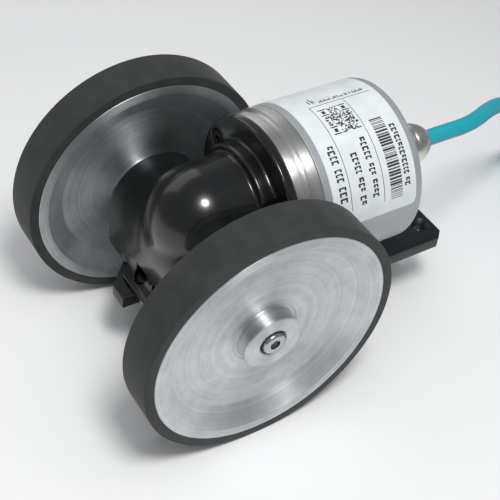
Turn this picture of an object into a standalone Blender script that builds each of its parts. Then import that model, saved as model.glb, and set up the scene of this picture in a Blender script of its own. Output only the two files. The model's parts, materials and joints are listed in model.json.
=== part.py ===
"""Length-measuring rotary encoder with two rubber-tyred wheels.

Two measuring wheels share one shaft, which runs across a cast gear housing.
A pair of crossed helical gears, one on the wheel shaft and one on the encoder
shaft above it, turns the drive through 90 degrees into the optical encoder.

Frame: metres, +Z up.  The origin is on the underside of the base plate, under
the middle of the wheel shaft.  The wheel shaft runs along X and the encoder
shaft along Y.  Sizes below are in millimetres and are scaled once, in mesh().
"""
import math

import bmesh
import bpy
from mathutils import Matrix, Vector

MM = 0.001
GAP = 0.3                    # clearance left between pieces that touch

# Base plate
PLATE_THICKNESS = 4.1
PLATE_HALF_WIDTH = 18.7
PLATE_REAR = 84.0
PLATE_FRONT = 22.7
PLATE_NOSE_HALF_WIDTH = 9.0
PLATE_NOSE_CHAMFER = 9.2
PLATE_REAR_CHAMFER = 2.6
NOTCH_WIDTH = 5.2
NOTCH_DEPTH = 7.1
SHORT_FINGER = 4.2             # how much the near finger beside the notch is shorter
REAR_HOLE_X = 10.8
REAR_HOLE_INSET = 4.4          # from the plate's rear edge
REAR_HOLE_RADIUS = 1.7
REAR_COUNTERSINK_RADIUS = 3.1

# Axes
AXLE_HEIGHT = 18.4
GEAR_CENTRE_DISTANCE = 12.6

# Gear housing
TUBE_RADIUS = 15.5
TUBE_HALF_LENGTH = 27.0
BARREL_RADIUS = 15.6
PILLAR_RADIUS = 14.8
COLLAR_RADIUS = 18.0
COLLAR_FRONT = 11.2
FLANGE_RADIUS = 24.9
FLANGE_FRONT = 15.7
FLANGE_THICKNESS = 2.7
CHAMBER_RADIUS = 9.4
FOOT_HALF_WIDTH = 10.2
FOOT_REACH = 18.8
FOOT_THICKNESS = 1.5
FOOT_FILLET = 2.6

# Wheels
WHEEL_WIDTH = 12.6
WHEEL_INNER_X = 29.6
HUB_RADIUS = 36.84
TYRE_RADIUS = 39.79
TYRE_SHOULDER = 0.3
RIM_INNER_RADIUS = 33.8
DISH_RADIUS = 27.9
DISH_DEPTH = 4.4
BACK_DISH_DEPTH = 3.4
BOSS_RADIUS = 9.2
BOSS_CHAMFER = 0.4
COUNTERBORE_RADIUS = 4.25
WEB_UNDER_SCREW = 2.0
SCREW_STANDS_PROUD = 0.9

# Wheel shaft and its bearings
SHAFT_RADIUS = 4.0
BEARING_WIDTH = 7.0
BEARING_OUTER_RADIUS = 11.0
RACE_WALL = 1.6
BEARING_INSET = 1.5          # tube end to the bearing's outer face
RING_THICKNESS = 1.0
RING_GROOVE_DEPTH = 0.8

# Gears
TEETH = 12
TOOTH_DEPTH_OUT = 0.5
TOOTH_DEPTH_IN = 0.95
GEAR_WIDTH = 9.0
GEAR_HUB_LENGTH = 4.5
DRIVE_HUB_RADIUS = 6.0
PINION_HUB_RADIUS = 5.3
GRUB_RADIUS = 0.9

# Encoder
ENCODER_SHAFT_RADIUS = 3.0
ENCODER_SHAFT_FRONT = -6.0
ENCODER_SHAFT_REAR = 46.5
ENCODER_FLANGE_RADIUS = 24.9
ENCODER_SHOULDER_RADIUS = 25.4
ENCODER_GROOVE_RADIUS = 24.2
ENCODER_GROOVE_FRONT = 21.6
ENCODER_GROOVE_WIDTH = 1.9
PILOT_RADIUS = 12.0
PILOT_LENGTH = 5.0
JOINT_Y = 26.6
SPIGOT_LENGTH = 3.6
CAP_RADIUS = 25.5
CAP_WALL = 2.0
CAP_REAR = 61.4
CAP_EDGE = 1.0
SMALL_BEARING_RADIUS = 6.5
SMALL_BEARING_WIDTH = 5.0
SMALL_RACE_WALL = 1.1
BEARING_TUBE_RADIUS = 10.5
BEARING_TUBE_REAR = 39.5
FRONT_BEARING_Y = 15.2
DISC_RADIUS = 16.0
DISC_THICKNESS = 1.0
DISC_HUB_RADIUS = 6.5
DISC_HUB_LENGTH = 3.6
BOARD_RADIUS = 21.5
BOARD_THICKNESS = 1.6
BOARD_FRONT = 48.4
PILLAR_CIRCLE = 19.0
BOARD_PILLAR_RADIUS = 1.8

# Screws: shank radius, head radius, head height, hexagon across flats
M3_LOW = (1.5, 2.75, 1.7, 2.0)
M4 = (2.0, 3.5, 4.0, 3.0)
M3_SUNK = (1.5, 2.8, 1.7, 2.0)
FLANGE_SCREW_CIRCLE = 20.3
FLANGE_SCREW_ANGLES = (32, 152, 272)
SINK_CLEARANCE = 0.42        # radial, so that the cones stand GAP apart
FLANGE_SCREW_LENGTH = 8.0
WHEEL_SCREW_LENGTH = 11.0
BASE_SCREW_X = 4.8
BASE_SCREW_Y = -13.8
BASE_SCREW_LENGTH = 5.0

# Cable gland
GLAND_X = 12.0
GLAND_RISE = 25.6            # above the wheel shaft
GLAND_RADIUS = 6.3
GLAND_STUB_RADIUS = 4.9
GLAND_COLLAR = 1.5
GLAND_DOME_LENGTH = 6.3
GLAND_BORE_RADIUS = 4.0
GLAND_MOUTH_RADIUS = 3.4
GLAND_SEAL_LENGTH = 5.1
GLAND_STUB_REACH = 1.2        # how far the threads reach inside the cap

# Cable
CABLE_RADIUS = 2.5
COIL_CENTRE = (8.0, 187.0)
COIL_RADIUS = 27.4
COIL_PITCH = 5.1
COIL_TURNS_ACROSS = 3
COIL_LIFT = 0.6
SLEEVE_RADIUS = 2.9
SLEEVE_LENGTH = 16.0
CORE_RADIUS = 0.6
CORE_LENGTH = 24.0
CORES = 5

# Places worked out from the sizes above
HOUSING_BOTTOM = PLATE_THICKNESS + GAP
ENCODER_HEIGHT = AXLE_HEIGHT + GEAR_CENTRE_DISTANCE
PITCH_RADIUS = GEAR_CENTRE_DISTANCE / 2
WHEEL_OUTER_X = WHEEL_INNER_X + WHEEL_WIDTH
SCREW_SEAT_X = WHEEL_OUTER_X + SCREW_STANDS_PROUD - M4[2]
SHAFT_END_X = SCREW_SEAT_X - WEB_UNDER_SCREW - GAP
BEARING_X = TUBE_HALF_LENGTH - BEARING_INSET - BEARING_WIDTH
FLANGE_REAR = FLANGE_FRONT + FLANGE_THICKNESS
ENCODER_FRONT = FLANGE_REAR + GAP
PILOT_FRONT = ENCODER_FRONT - PILOT_LENGTH
CAP_FRONT = JOINT_Y + GAP
CAP_INNER_RADIUS = CAP_RADIUS - CAP_WALL
CAP_INNER_REAR = CAP_REAR - CAP_WALL
SPIGOT_REAR = JOINT_Y + SPIGOT_LENGTH
REAR_BEARING_Y = BEARING_TUBE_REAR - SMALL_BEARING_WIDTH - 0.5
GLAND_HEIGHT = AXLE_HEIGHT + GLAND_RISE
GLAND_BODY_Y = CAP_REAR + GAP
GLAND_DOME_Y = GLAND_BODY_Y + GLAND_COLLAR + GAP
GLAND_MOUTH_Y = GLAND_DOME_Y + GLAND_DOME_LENGTH
GROUND = AXLE_HEIGHT - TYRE_RADIUS
CABLE_START_Y = GLAND_MOUTH_Y - 3.8
COIL_REACH = COIL_PITCH * COIL_TURNS_ACROSS
COIL_TOP = GROUND + COIL_LIFT + COIL_REACH

ALONG_X = Matrix.Rotation(math.radians(90), 4, "Y")     # local +Z becomes +X
ALONG_Y = Matrix.Rotation(math.radians(-90), 4, "X")    # local +Z becomes +Y
DOWN_Z = Matrix.Rotation(math.radians(180), 4, "X")
UPRIGHT = Matrix.Identity(4)

MATERIALS = {                # colour, roughness, metallic
    "cast_black": ((0.011, 0.012, 0.013), 0.22, 0.0),
    "plate_black": ((0.016, 0.017, 0.018), 0.35, 0.0),
    "aluminium": ((0.72, 0.73, 0.74), 0.28, 1.0),
    "rubber": ((0.058, 0.062, 0.062), 0.72, 0.0),
    "silver_paint": ((0.42, 0.44, 0.46), 0.38, 0.3),
    "steel": ((0.52, 0.52, 0.53), 0.25, 1.0),
    "black_steel": ((0.03, 0.03, 0.032), 0.35, 1.0),
    "zinc_steel": ((0.55, 0.57, 0.58), 0.3, 1.0),
    "brass": ((0.72, 0.52, 0.22), 0.3, 1.0),
    "nickel": ((0.62, 0.59, 0.54), 0.2, 1.0),
    "seal_rubber": ((0.02, 0.02, 0.02), 0.7, 0.0),
    "board_green": ((0.02, 0.12, 0.05), 0.5, 0.0),
    "chip_black": ((0.02, 0.02, 0.022), 0.45, 0.0),
    "disc_glass": ((0.55, 0.58, 0.6), 0.1, 0.0),
    "cable_teal": ((0.005, 0.36, 0.44), 0.42, 0.0),
    "core_insulation": ((0.5, 0.3, 0.1), 0.45, 0.0),
}


# ---------------------------------------------------------------- tools

def clear_scene():
    for obj in list(bpy.data.objects):
        bpy.data.objects.remove(obj, do_unlink=True)


def material(name):
    found = bpy.data.materials.get(name)
    if found:
        return found
    colour, roughness, metallic = MATERIALS[name]
    made = bpy.data.materials.new(name)
    made.use_nodes = True
    surface = made.node_tree.nodes["Principled BSDF"]
    surface.inputs["Base Color"].default_value = (*colour, 1)
    surface.inputs["Roughness"].default_value = roughness
    surface.inputs["Metallic"].default_value = metallic
    return made


def place(obj, at, turn):
    """Put an object at a point in millimetres, turned by a rotation matrix."""
    obj.matrix_world = Matrix.Translation(Vector(at) * MM) @ turn


def mesh(name, bm, slot, at=(0, 0, 0), turn=UPRIGHT, sharp=30):
    """Turn a bmesh in millimetres into a placed object with one material."""
    bmesh.ops.remove_doubles(bm, verts=bm.verts, dist=1e-5)
    bmesh.ops.recalc_face_normals(bm, faces=bm.faces)
    bmesh.ops.scale(bm, vec=(MM, MM, MM), verts=bm.verts)
    data = bpy.data.meshes.new(name)
    bm.to_mesh(data)
    bm.free()
    data.materials.append(material(slot))
    data.shade_smooth()
    data.set_sharp_from_angle(angle=math.radians(sharp))
    obj = bpy.data.objects.new(name, data)
    bpy.context.collection.objects.link(obj)
    place(obj, at, turn)
    return obj


def turned(name, profile, slot, at=(0, 0, 0), turn=UPRIGHT, steps=32):
    """Spin a closed outline of (along, radius) points about local Z."""
    bm = bmesh.new()
    verts = [bm.verts.new((radius, 0, along)) for along, radius in profile]
    edges = [bm.edges.new((verts[i - 1], verts[i])) for i in range(len(verts))]
    edges = [e for e in edges if e.verts[0].co.x > 0 or e.verts[1].co.x > 0]
    bmesh.ops.spin(bm, geom=verts + edges, cent=(0, 0, 0), axis=(0, 0, 1),
                   angle=math.tau, steps=steps, use_merge=True)
    loose = [e for e in bm.edges if not e.link_faces]
    bmesh.ops.delete(bm, geom=loose, context="EDGES")
    return mesh(name, bm, slot, at, turn)


def rod(name, radius, start, end, slot, at=(0, 0, 0), turn=UPRIGHT, steps=32):
    outline = [(start, 0), (start, radius), (end, radius), (end, 0)]
    return turned(name, outline, slot, at, turn, steps)


def ring(name, inner, outer, start, end, slot, at=(0, 0, 0), turn=UPRIGHT, steps=28):
    outline = [(start, inner), (start, outer), (end, outer), (end, inner)]
    return turned(name, outline, slot, at, turn, steps)


def extruded(name, outline, start, end, slot, at=(0, 0, 0), turn=UPRIGHT):
    """Extrude a closed outline in local XY from one height to another."""
    bm = bmesh.new()
    face = bm.faces.new([bm.verts.new((x, y, start)) for x, y in outline])
    result = bmesh.ops.extrude_face_region(bm, geom=[face])
    lifted = [v for v in result["geom"] if isinstance(v, bmesh.types.BMVert)]
    bmesh.ops.translate(bm, vec=(0, 0, end - start), verts=lifted)
    return mesh(name, bm, slot, at, turn)


def block(name, low, high, slot):
    x0, y0, z0 = low
    x1, y1, z1 = high
    return extruded(name, [(x0, y0), (x1, y0), (x1, y1), (x0, y1)], z0, z1, slot)


def arc(centre, radius, start, end, steps):
    """Points on an arc, angles in degrees."""
    angles = [math.radians(start + (end - start) * i / steps) for i in range(steps + 1)]
    return [(centre[0] + radius * math.cos(a), centre[1] + radius * math.sin(a)) for a in angles]


def boolean(target, tool, operation):
    """Cut or join with a hidden tool object; the tool leaves the model."""
    tool.hide_render = True
    tool.display_type = "WIRE"
    step = target.modifiers.new(operation.lower(), "BOOLEAN")
    step.operation = operation
    step.object = tool
    step.solver = "EXACT"


def cut(target, tool):
    boolean(target, tool, "DIFFERENCE")


def join(target, tool):
    boolean(target, tool, "UNION")


def hexagon(across_flats):
    corner = across_flats / math.sqrt(3)
    return arc((0, 0), corner, 0, 300, 5)


def cap_screw(name, size, length, slot, at, turn):
    """Socket cap screw: head seat at local 0, head along +Z, shank along -Z."""
    shank, head, height, flats = size
    edge = 0.25
    outline = [(-length, 0), (-length, shank), (0, shank), (0, head),
               (height - edge, head), (height, head - edge), (height, 0)]
    screw = turned(name, outline, slot, at, turn, steps=16)
    socket = extruded(name + "_socket", hexagon(flats), height * 0.45, height + 1, slot, at, turn)
    cut(screw, socket)
    return screw


def grub_screw(name, slot, at, turn, length):
    return rod(name, GRUB_RADIUS, 0, length, slot, at, turn, steps=10)


def on_encoder_axis(y, radius=0.0, angle=0.0):
    """A point at a radius and angle about the encoder shaft."""
    a = math.radians(angle)
    return (radius * math.cos(a), y, ENCODER_HEIGHT + radius * math.sin(a))


# ---------------------------------------------------------------- base plate

def base_plate():
    side = PLATE_HALF_WIDTH
    nose = PLATE_NOSE_HALF_WIDTH
    shoulder = -PLATE_FRONT + PLATE_NOSE_CHAMFER
    notch = NOTCH_WIDTH / 2
    notch_centre = -PLATE_FRONT + NOTCH_DEPTH - notch
    rear = PLATE_REAR
    trim = PLATE_REAR_CHAMFER
    near_front = -PLATE_FRONT + SHORT_FINGER
    near_nose = nose + (side - nose) * SHORT_FINGER / PLATE_NOSE_CHAMFER
    outline = [(near_nose, near_front), (side, shoulder), (side, rear - trim), (side - trim, rear),
               (trim - side, rear), (-side, rear - trim), (-side, shoulder), (-nose, -PLATE_FRONT)]
    outline += [(-notch, -PLATE_FRONT)] + arc((0, notch_centre), notch, 180, 0, 8)
    outline += [(notch, near_front)]
    plate = extruded("base_plate", outline, 0, PLATE_THICKNESS, "plate_black")
    for sign in (-1, 1):
        sink = REAR_COUNTERSINK_RADIUS - REAR_HOLE_RADIUS
        shape = [(-1, 0), (-1, REAR_HOLE_RADIUS), (PLATE_THICKNESS - sink, REAR_HOLE_RADIUS),
                 (PLATE_THICKNESS, REAR_COUNTERSINK_RADIUS),
                 (PLATE_THICKNESS + 1, REAR_COUNTERSINK_RADIUS), (PLATE_THICKNESS + 1, 0)]
        at = (sign * REAR_HOLE_X, PLATE_REAR - REAR_HOLE_INSET, 0)
        cut(plate, turned("rear_hole", shape, "plate_black", at, steps=20))
        cut(plate, rod("tapped_hole", M3_LOW[0] + GAP, -1, PLATE_THICKNESS + 1, "plate_black",
                       (sign * BASE_SCREW_X, BASE_SCREW_Y, 0), steps=16))
    return plate


def base_screws():
    seat = HOUSING_BOTTOM + FOOT_THICKNESS + GAP
    for sign, side in ((1, "near"), (-1, "far")):
        cap_screw("base_screw_" + side, M3_LOW, BASE_SCREW_LENGTH, "black_steel",
                  (sign * BASE_SCREW_X, BASE_SCREW_Y, seat), UPRIGHT)


# ---------------------------------------------------------------- gear housing

def housing_body():
    """Arched cross tube for the wheel shaft, flat on its underside."""
    arch = [(TUBE_RADIUS, HOUSING_BOTTOM)]
    arch += arc((0, AXLE_HEIGHT), TUBE_RADIUS, 0, 180, 24)
    arch += [(-TUBE_RADIUS, HOUSING_BOTTOM)]
    upright_section = Matrix(((0, 0, 1, 0), (1, 0, 0, 0), (0, 1, 0, 0), (0, 0, 0, 1)))
    body = extruded("gear_housing", arch, -TUBE_HALF_LENGTH, TUBE_HALF_LENGTH, "cast_black",
                    turn=upright_section)

    nose = [(BARREL_RADIUS * math.sin(a), BARREL_RADIUS * math.cos(a))
            for a in (math.radians(-90 + 15 * i) for i in range(7))]
    nose[0] = (-BARREL_RADIUS, 0)
    barrel = nose + [(COLLAR_FRONT, BARREL_RADIUS), (COLLAR_FRONT, COLLAR_RADIUS),
                     (FLANGE_FRONT, COLLAR_RADIUS), (FLANGE_FRONT, FLANGE_RADIUS),
                     (FLANGE_REAR, FLANGE_RADIUS), (FLANGE_REAR, 0)]
    join(body, turned("barrel", barrel, "cast_black", on_encoder_axis(0), ALONG_Y, steps=32))
    join(body, rod("pillar", PILLAR_RADIUS, HOUSING_BOTTOM, ENCODER_HEIGHT, "cast_black", steps=32))

    wall = -TUBE_RADIUS
    top = HOUSING_BOTTOM + FOOT_THICKNESS
    foot = [(wall + 3, HOUSING_BOTTOM), (-FOOT_REACH, HOUSING_BOTTOM), (-FOOT_REACH, top)]
    foot += arc((wall - FOOT_FILLET, top + FOOT_FILLET), FOOT_FILLET, 270, 360, 5)
    foot += [(wall + 3, top + FOOT_FILLET)]
    join(body, extruded("foot", foot, -FOOT_HALF_WIDTH, FOOT_HALF_WIDTH, "cast_black",
                        turn=upright_section))
    return body


def gear_housing():
    body = housing_body()
    seat = BEARING_OUTER_RADIUS + GAP
    end = TUBE_HALF_LENGTH + 1
    inner = BEARING_X - GAP
    groove_in = BEARING_X + BEARING_WIDTH + GAP / 2
    groove_out = groove_in + RING_THICKNESS + GAP
    deep = seat + RING_GROOVE_DEPTH
    half = [(inner, CHAMBER_RADIUS), (inner, seat), (groove_in, seat), (groove_in, deep),
            (groove_out, deep), (groove_out, seat), (end, seat), (end, 0)]
    bore = [(-x, r) for x, r in reversed(half)] + half
    cut(body, turned("cross_bore", bore, "cast_black", (0, 0, AXLE_HEIGHT), ALONG_X, steps=32))

    pilot = PILOT_RADIUS + GAP
    chamber = [(-CHAMBER_RADIUS, 0), (-CHAMBER_RADIUS, CHAMBER_RADIUS),
               (PILOT_FRONT - GAP, CHAMBER_RADIUS), (PILOT_FRONT - GAP, pilot),
               (FLANGE_REAR + 1, pilot), (FLANGE_REAR + 1, 0)]
    cut(body, turned("gear_chamber", chamber, "cast_black", on_encoder_axis(0), ALONG_Y, steps=32))

    for number, angle in enumerate(FLANGE_SCREW_ANGLES, 1):
        at = on_encoder_axis(0, FLANGE_SCREW_CIRCLE, angle)
        shank, head, height, _ = M3_SUNK
        mouth, pilot_hole = head + SINK_CLEARANCE, shank + SINK_CLEARANCE
        hole = [(COLLAR_FRONT - 2, 0), (COLLAR_FRONT - 2, mouth), (FLANGE_FRONT, mouth),
                (FLANGE_FRONT + height, pilot_hole), (FLANGE_REAR + 1, pilot_hole), (FLANGE_REAR + 1, 0)]
        cut(body, turned("flange_hole_%d" % number, hole, "cast_black", at, ALONG_Y, steps=16))

    floor = HOUSING_BOTTOM + FOOT_THICKNESS
    pocket = M3_LOW[1] + 0.6
    for sign in (-1, 1):
        shape = [(HOUSING_BOTTOM - 1, 0), (HOUSING_BOTTOM - 1, M3_LOW[0] + GAP),
                 (floor, M3_LOW[0] + GAP), (floor, pocket), (floor + 7, pocket), (floor + 7, 0)]
        cut(body, turned("foot_pocket", shape, "cast_black",
                         (sign * BASE_SCREW_X, BASE_SCREW_Y, 0), steps=20))


def flange_screws():
    """Countersunk screws, their heads flush with the housing's flange."""
    shank, head, height, flats = M3_SUNK
    facing_front = Matrix.Rotation(math.radians(90), 4, "X")
    outline = [(-FLANGE_SCREW_LENGTH, 0), (-FLANGE_SCREW_LENGTH, shank), (-height, shank), (0, head), (0, 0)]
    for number, angle in enumerate(FLANGE_SCREW_ANGLES, 1):
        name = "flange_screw_%d" % number
        at = on_encoder_axis(FLANGE_FRONT, FLANGE_SCREW_CIRCLE, angle)
        screw = turned(name, outline, "black_steel", at, facing_front, steps=16)
        socket = extruded(name + "_socket", hexagon(flats), -height * 0.6, 1, "black_steel", at,
                          facing_front)
        cut(screw, socket)


# ---------------------------------------------------------------- wheels

def wheel_axle(sign):
    """Local +Z points outwards along the shaft on this side."""
    turn = ALONG_X if sign > 0 else ALONG_X @ DOWN_Z
    return (0, 0, AXLE_HEIGHT), turn


def wheel(sign, side):
    at, turn = wheel_axle(sign)
    face = WHEEL_OUTER_X
    back = WHEEL_INNER_X
    bore = SHAFT_RADIUS + GAP
    hub = [
        (back, HUB_RADIUS), (face, HUB_RADIUS),
        (face, RIM_INNER_RADIUS), (face - DISH_DEPTH, DISH_RADIUS),
        (face - DISH_DEPTH, BOSS_RADIUS), (face - BOSS_CHAMFER, BOSS_RADIUS),
        (face, BOSS_RADIUS - BOSS_CHAMFER), (face, COUNTERBORE_RADIUS),
        (SCREW_SEAT_X - GAP, COUNTERBORE_RADIUS), (SCREW_SEAT_X - GAP, M4[0] + GAP),
        (SHAFT_END_X + GAP, M4[0] + GAP), (SHAFT_END_X + GAP, bore),
        (back, bore), (back, BOSS_RADIUS), (back + BACK_DISH_DEPTH, BOSS_RADIUS),
        (back + BACK_DISH_DEPTH, DISH_RADIUS), (back, RIM_INNER_RADIUS),
    ]
    turned("wheel_hub_" + side, hub, "aluminium", at, turn, steps=36)

    inner = HUB_RADIUS + GAP
    soft = TYRE_SHOULDER
    tyre = [(back, inner), (back, TYRE_RADIUS - soft), (back + soft, TYRE_RADIUS),
            (face - soft, TYRE_RADIUS), (face, TYRE_RADIUS - soft), (face, inner)]
    turned("wheel_tyre_" + side, tyre, "rubber", at, turn, steps=44)

    seat = Vector(at) + turn.to_3x3() @ Vector((0, 0, SCREW_SEAT_X))
    cap_screw("wheel_screw_" + side, M4, WHEEL_SCREW_LENGTH, "zinc_steel", seat, turn)


def bearing_pair(prefix, side, bore, outer, wall, start, width, at, turn, steps):
    """Inner and outer race of one shielded ball bearing, bore and outer are radii."""
    ring(prefix + "_outer_" + side, outer - wall, outer, start, start + width, "steel", at, turn, steps)
    ring(prefix + "_inner_" + side, bore, bore + wall, start, start + width, "steel", at, turn, steps)


def shaft_supports(sign, side):
    at, turn = wheel_axle(sign)
    bore = SHAFT_RADIUS + GAP
    bearing_pair("shaft_bearing", side, bore, BEARING_OUTER_RADIUS, RACE_WALL, BEARING_X,
                 BEARING_WIDTH, at, turn, 28)
    bearing_face = BEARING_X + BEARING_WIDTH + GAP
    ring("wheel_spacer_" + side, bore, bore + RACE_WALL, bearing_face, WHEEL_INNER_X - GAP,
         "aluminium", at, turn, 20)

    # Open retaining ring that sits in the groove at the end of the tube
    outer = BEARING_OUTER_RADIUS + RING_GROOVE_DEPTH
    inner = BEARING_OUTER_RADIUS - 0.9
    shape = arc((0, 0), outer, 20, 340, 24) + arc((0, 0), inner, 340, 20, 24)
    extruded("retaining_ring_" + side, shape, bearing_face, bearing_face + RING_THICKNESS - GAP,
             "black_steel", at, turn)


def wheel_shaft():
    screw = M4[0] + GAP
    depth = SHAFT_END_X - (SCREW_SEAT_X - WHEEL_SCREW_LENGTH) + 1.5
    end = SHAFT_END_X
    half = [(end - depth, 0), (end - depth, screw), (end, screw), (end, SHAFT_RADIUS)]
    outline = half + [(-x, r) for x, r in reversed(half)]
    turned("wheel_shaft", outline, "steel", (0, 0, AXLE_HEIGHT), ALONG_X, steps=24)


# ---------------------------------------------------------------- gears

def helical_gear(name, bore, hub_radius, phase, slot, at, turn):
    """45-degree helical gear: every section is the tooth outline, twisted along local Z."""
    quarter = 360 / TEETH / 4
    root = PITCH_RADIUS - TOOTH_DEPTH_IN
    tip = PITCH_RADIUS + TOOTH_DEPTH_OUT
    corners = ((-1.25, root), (-0.55, tip), (0.55, tip), (1.25, root))
    sections = 6
    bm = bmesh.new()
    rows = []
    for row in range(sections + 1):
        z = GEAR_WIDTH * (row / sections - 0.5)
        twist = math.degrees(z / PITCH_RADIUS)
        points = []
        for tooth in range(TEETH):
            for share, radius in corners:
                a = math.radians(phase + tooth * 360 / TEETH + share * quarter + twist)
                points.append(bm.verts.new((radius * math.cos(a), radius * math.sin(a), z)))
        rows.append(points)
    count = len(rows[0])
    for low, high in zip(rows, rows[1:]):
        for i in range(count):
            bm.faces.new((low[i - 1], low[i], high[i], high[i - 1]))
    bm.faces.new(reversed(rows[0]))
    bm.faces.new(rows[-1])
    gear = mesh(name, bm, slot, at, turn, sharp=25)
    hub_end = GEAR_WIDTH / 2 + GEAR_HUB_LENGTH
    join(gear, rod(name + "_hub", hub_radius, GEAR_WIDTH / 2 - 1, hub_end, slot, at, turn, steps=24))
    cut(gear, rod(name + "_bore", bore, -hub_end, hub_end + 1, slot, at, turn, steps=24))
    middle = GEAR_WIDTH / 2 + GEAR_HUB_LENGTH / 2
    hole_at = Vector(at) + turn.to_3x3() @ Vector((0, 0, middle))
    across = turn @ ALONG_X
    cut(gear, rod(name + "_tapping", GRUB_RADIUS + GAP, 0, hub_radius + 1, slot, hole_at, across, steps=12))
    grub_at = Vector(hole_at) + across.to_3x3() @ Vector((0, 0, bore))
    grub_screw(name + "_grub", "black_steel", grub_at, across, hub_radius - bore - 0.1)
    return gear


def gears():
    # A tooth of the drive gear points up where a space of the pinion points down.
    helical_gear("drive_gear", SHAFT_RADIUS + GAP, DRIVE_HUB_RADIUS, 0, "steel",
                 (0, 0, AXLE_HEIGHT), ALONG_X)
    helical_gear("encoder_pinion", ENCODER_SHAFT_RADIUS + GAP, PINION_HUB_RADIUS, 180 / TEETH, "brass",
                 on_encoder_axis(0), ALONG_Y)


# ---------------------------------------------------------------- encoder

def encoder_flange():
    seat = SMALL_BEARING_RADIUS + GAP
    bore = SMALL_BEARING_RADIUS - SMALL_RACE_WALL
    groove = ENCODER_GROOVE_FRONT
    spigot = CAP_INNER_RADIUS - GAP
    outline = [
        (PILOT_FRONT, seat), (PILOT_FRONT, PILOT_RADIUS), (ENCODER_FRONT, PILOT_RADIUS),
        (ENCODER_FRONT, ENCODER_FLANGE_RADIUS), (groove, ENCODER_FLANGE_RADIUS),
        (groove, ENCODER_GROOVE_RADIUS), (groove + ENCODER_GROOVE_WIDTH, ENCODER_GROOVE_RADIUS),
        (groove + ENCODER_GROOVE_WIDTH, ENCODER_SHOULDER_RADIUS), (JOINT_Y, ENCODER_SHOULDER_RADIUS),
        (JOINT_Y, spigot - 1.0), (JOINT_Y + 1.7, spigot - 1.0), (JOINT_Y + 1.7, spigot),
        (SPIGOT_REAR, spigot), (SPIGOT_REAR, BEARING_TUBE_RADIUS),
        (BEARING_TUBE_REAR, BEARING_TUBE_RADIUS), (BEARING_TUBE_REAR, seat),
        (REAR_BEARING_Y - GAP, seat), (REAR_BEARING_Y - GAP, bore),
        (FRONT_BEARING_Y + SMALL_BEARING_WIDTH + GAP, bore),
        (FRONT_BEARING_Y + SMALL_BEARING_WIDTH + GAP, seat),
    ]
    flange = turned("encoder_flange", outline, "aluminium", on_encoder_axis(0), ALONG_Y, steps=32)
    for angle in FLANGE_SCREW_ANGLES:
        at = on_encoder_axis(0, FLANGE_SCREW_CIRCLE, angle)
        depth = FLANGE_FRONT + FLANGE_SCREW_LENGTH + 0.8
        cut(flange, rod("flange_tapping", M3_SUNK[0] + GAP, ENCODER_FRONT - 1, depth, "aluminium", at,
                        ALONG_Y, steps=12))


def encoder_bearings():
    at = on_encoder_axis(0)
    bore = ENCODER_SHAFT_RADIUS + GAP
    for side, start in (("front", FRONT_BEARING_Y), ("rear", REAR_BEARING_Y)):
        bearing_pair("encoder_bearing", side, bore, SMALL_BEARING_RADIUS, SMALL_RACE_WALL, start,
                     SMALL_BEARING_WIDTH, at, ALONG_Y, 20)
    front = FRONT_BEARING_Y + SMALL_BEARING_WIDTH + GAP
    ring("bearing_spacer", bore, bore + SMALL_RACE_WALL, front, REAR_BEARING_Y - GAP, "steel", at,
         ALONG_Y, 20)


def encoder_rotor():
    at = on_encoder_axis(0)
    rod("encoder_shaft", ENCODER_SHAFT_RADIUS, ENCODER_SHAFT_FRONT, ENCODER_SHAFT_REAR, "steel", at,
        ALONG_Y, steps=20)
    bore = ENCODER_SHAFT_RADIUS + GAP
    start = BEARING_TUBE_REAR + 0.8
    end = start + DISC_HUB_LENGTH
    hub = [(start, bore), (start, DISC_HUB_RADIUS), (end, DISC_HUB_RADIUS),
           (end, bore + 1.5), (end + DISC_THICKNESS + GAP, bore + 1.5), (end + DISC_THICKNESS + GAP, bore)]
    turned("disc_hub", hub, "brass", at, ALONG_Y, steps=24)
    ring("code_disc", bore + 1.5 + GAP, DISC_RADIUS, end + GAP, end + GAP + DISC_THICKNESS, "disc_glass",
         at, ALONG_Y, 28)


def encoder_board():
    ring_at = on_encoder_axis(0)
    rod("sensor_board", BOARD_RADIUS, BOARD_FRONT, BOARD_FRONT + BOARD_THICKNESS, "board_green",
        ring_at, ALONG_Y, steps=32)
    for number, angle in enumerate((90, 210, 330), 1):
        at = on_encoder_axis(0, PILLAR_CIRCLE, angle)
        rod("board_pillar_%d" % number, BOARD_PILLAR_RADIUS, SPIGOT_REAR + GAP, BOARD_FRONT - GAP,
            "brass", at, ALONG_Y, steps=12)
    disc_front = BEARING_TUBE_REAR + 0.8 + DISC_HUB_LENGTH + GAP
    low = ENCODER_HEIGHT - 15.5
    high = ENCODER_HEIGHT - BEARING_TUBE_RADIUS - 0.6
    block("light_source", (-4, SPIGOT_REAR + GAP, low), (4, disc_front - 0.8, high), "chip_black")
    block("sensor_chip", (-4.5, disc_front + DISC_THICKNESS + 0.8, low),
          (4.5, BOARD_FRONT - GAP, high), "chip_black")
    rear = BOARD_FRONT + BOARD_THICKNESS + GAP
    block("wire_terminal", (-8, rear, ENCODER_HEIGHT - 4), (4, rear + 5, ENCODER_HEIGHT + 3), "chip_black")


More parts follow.
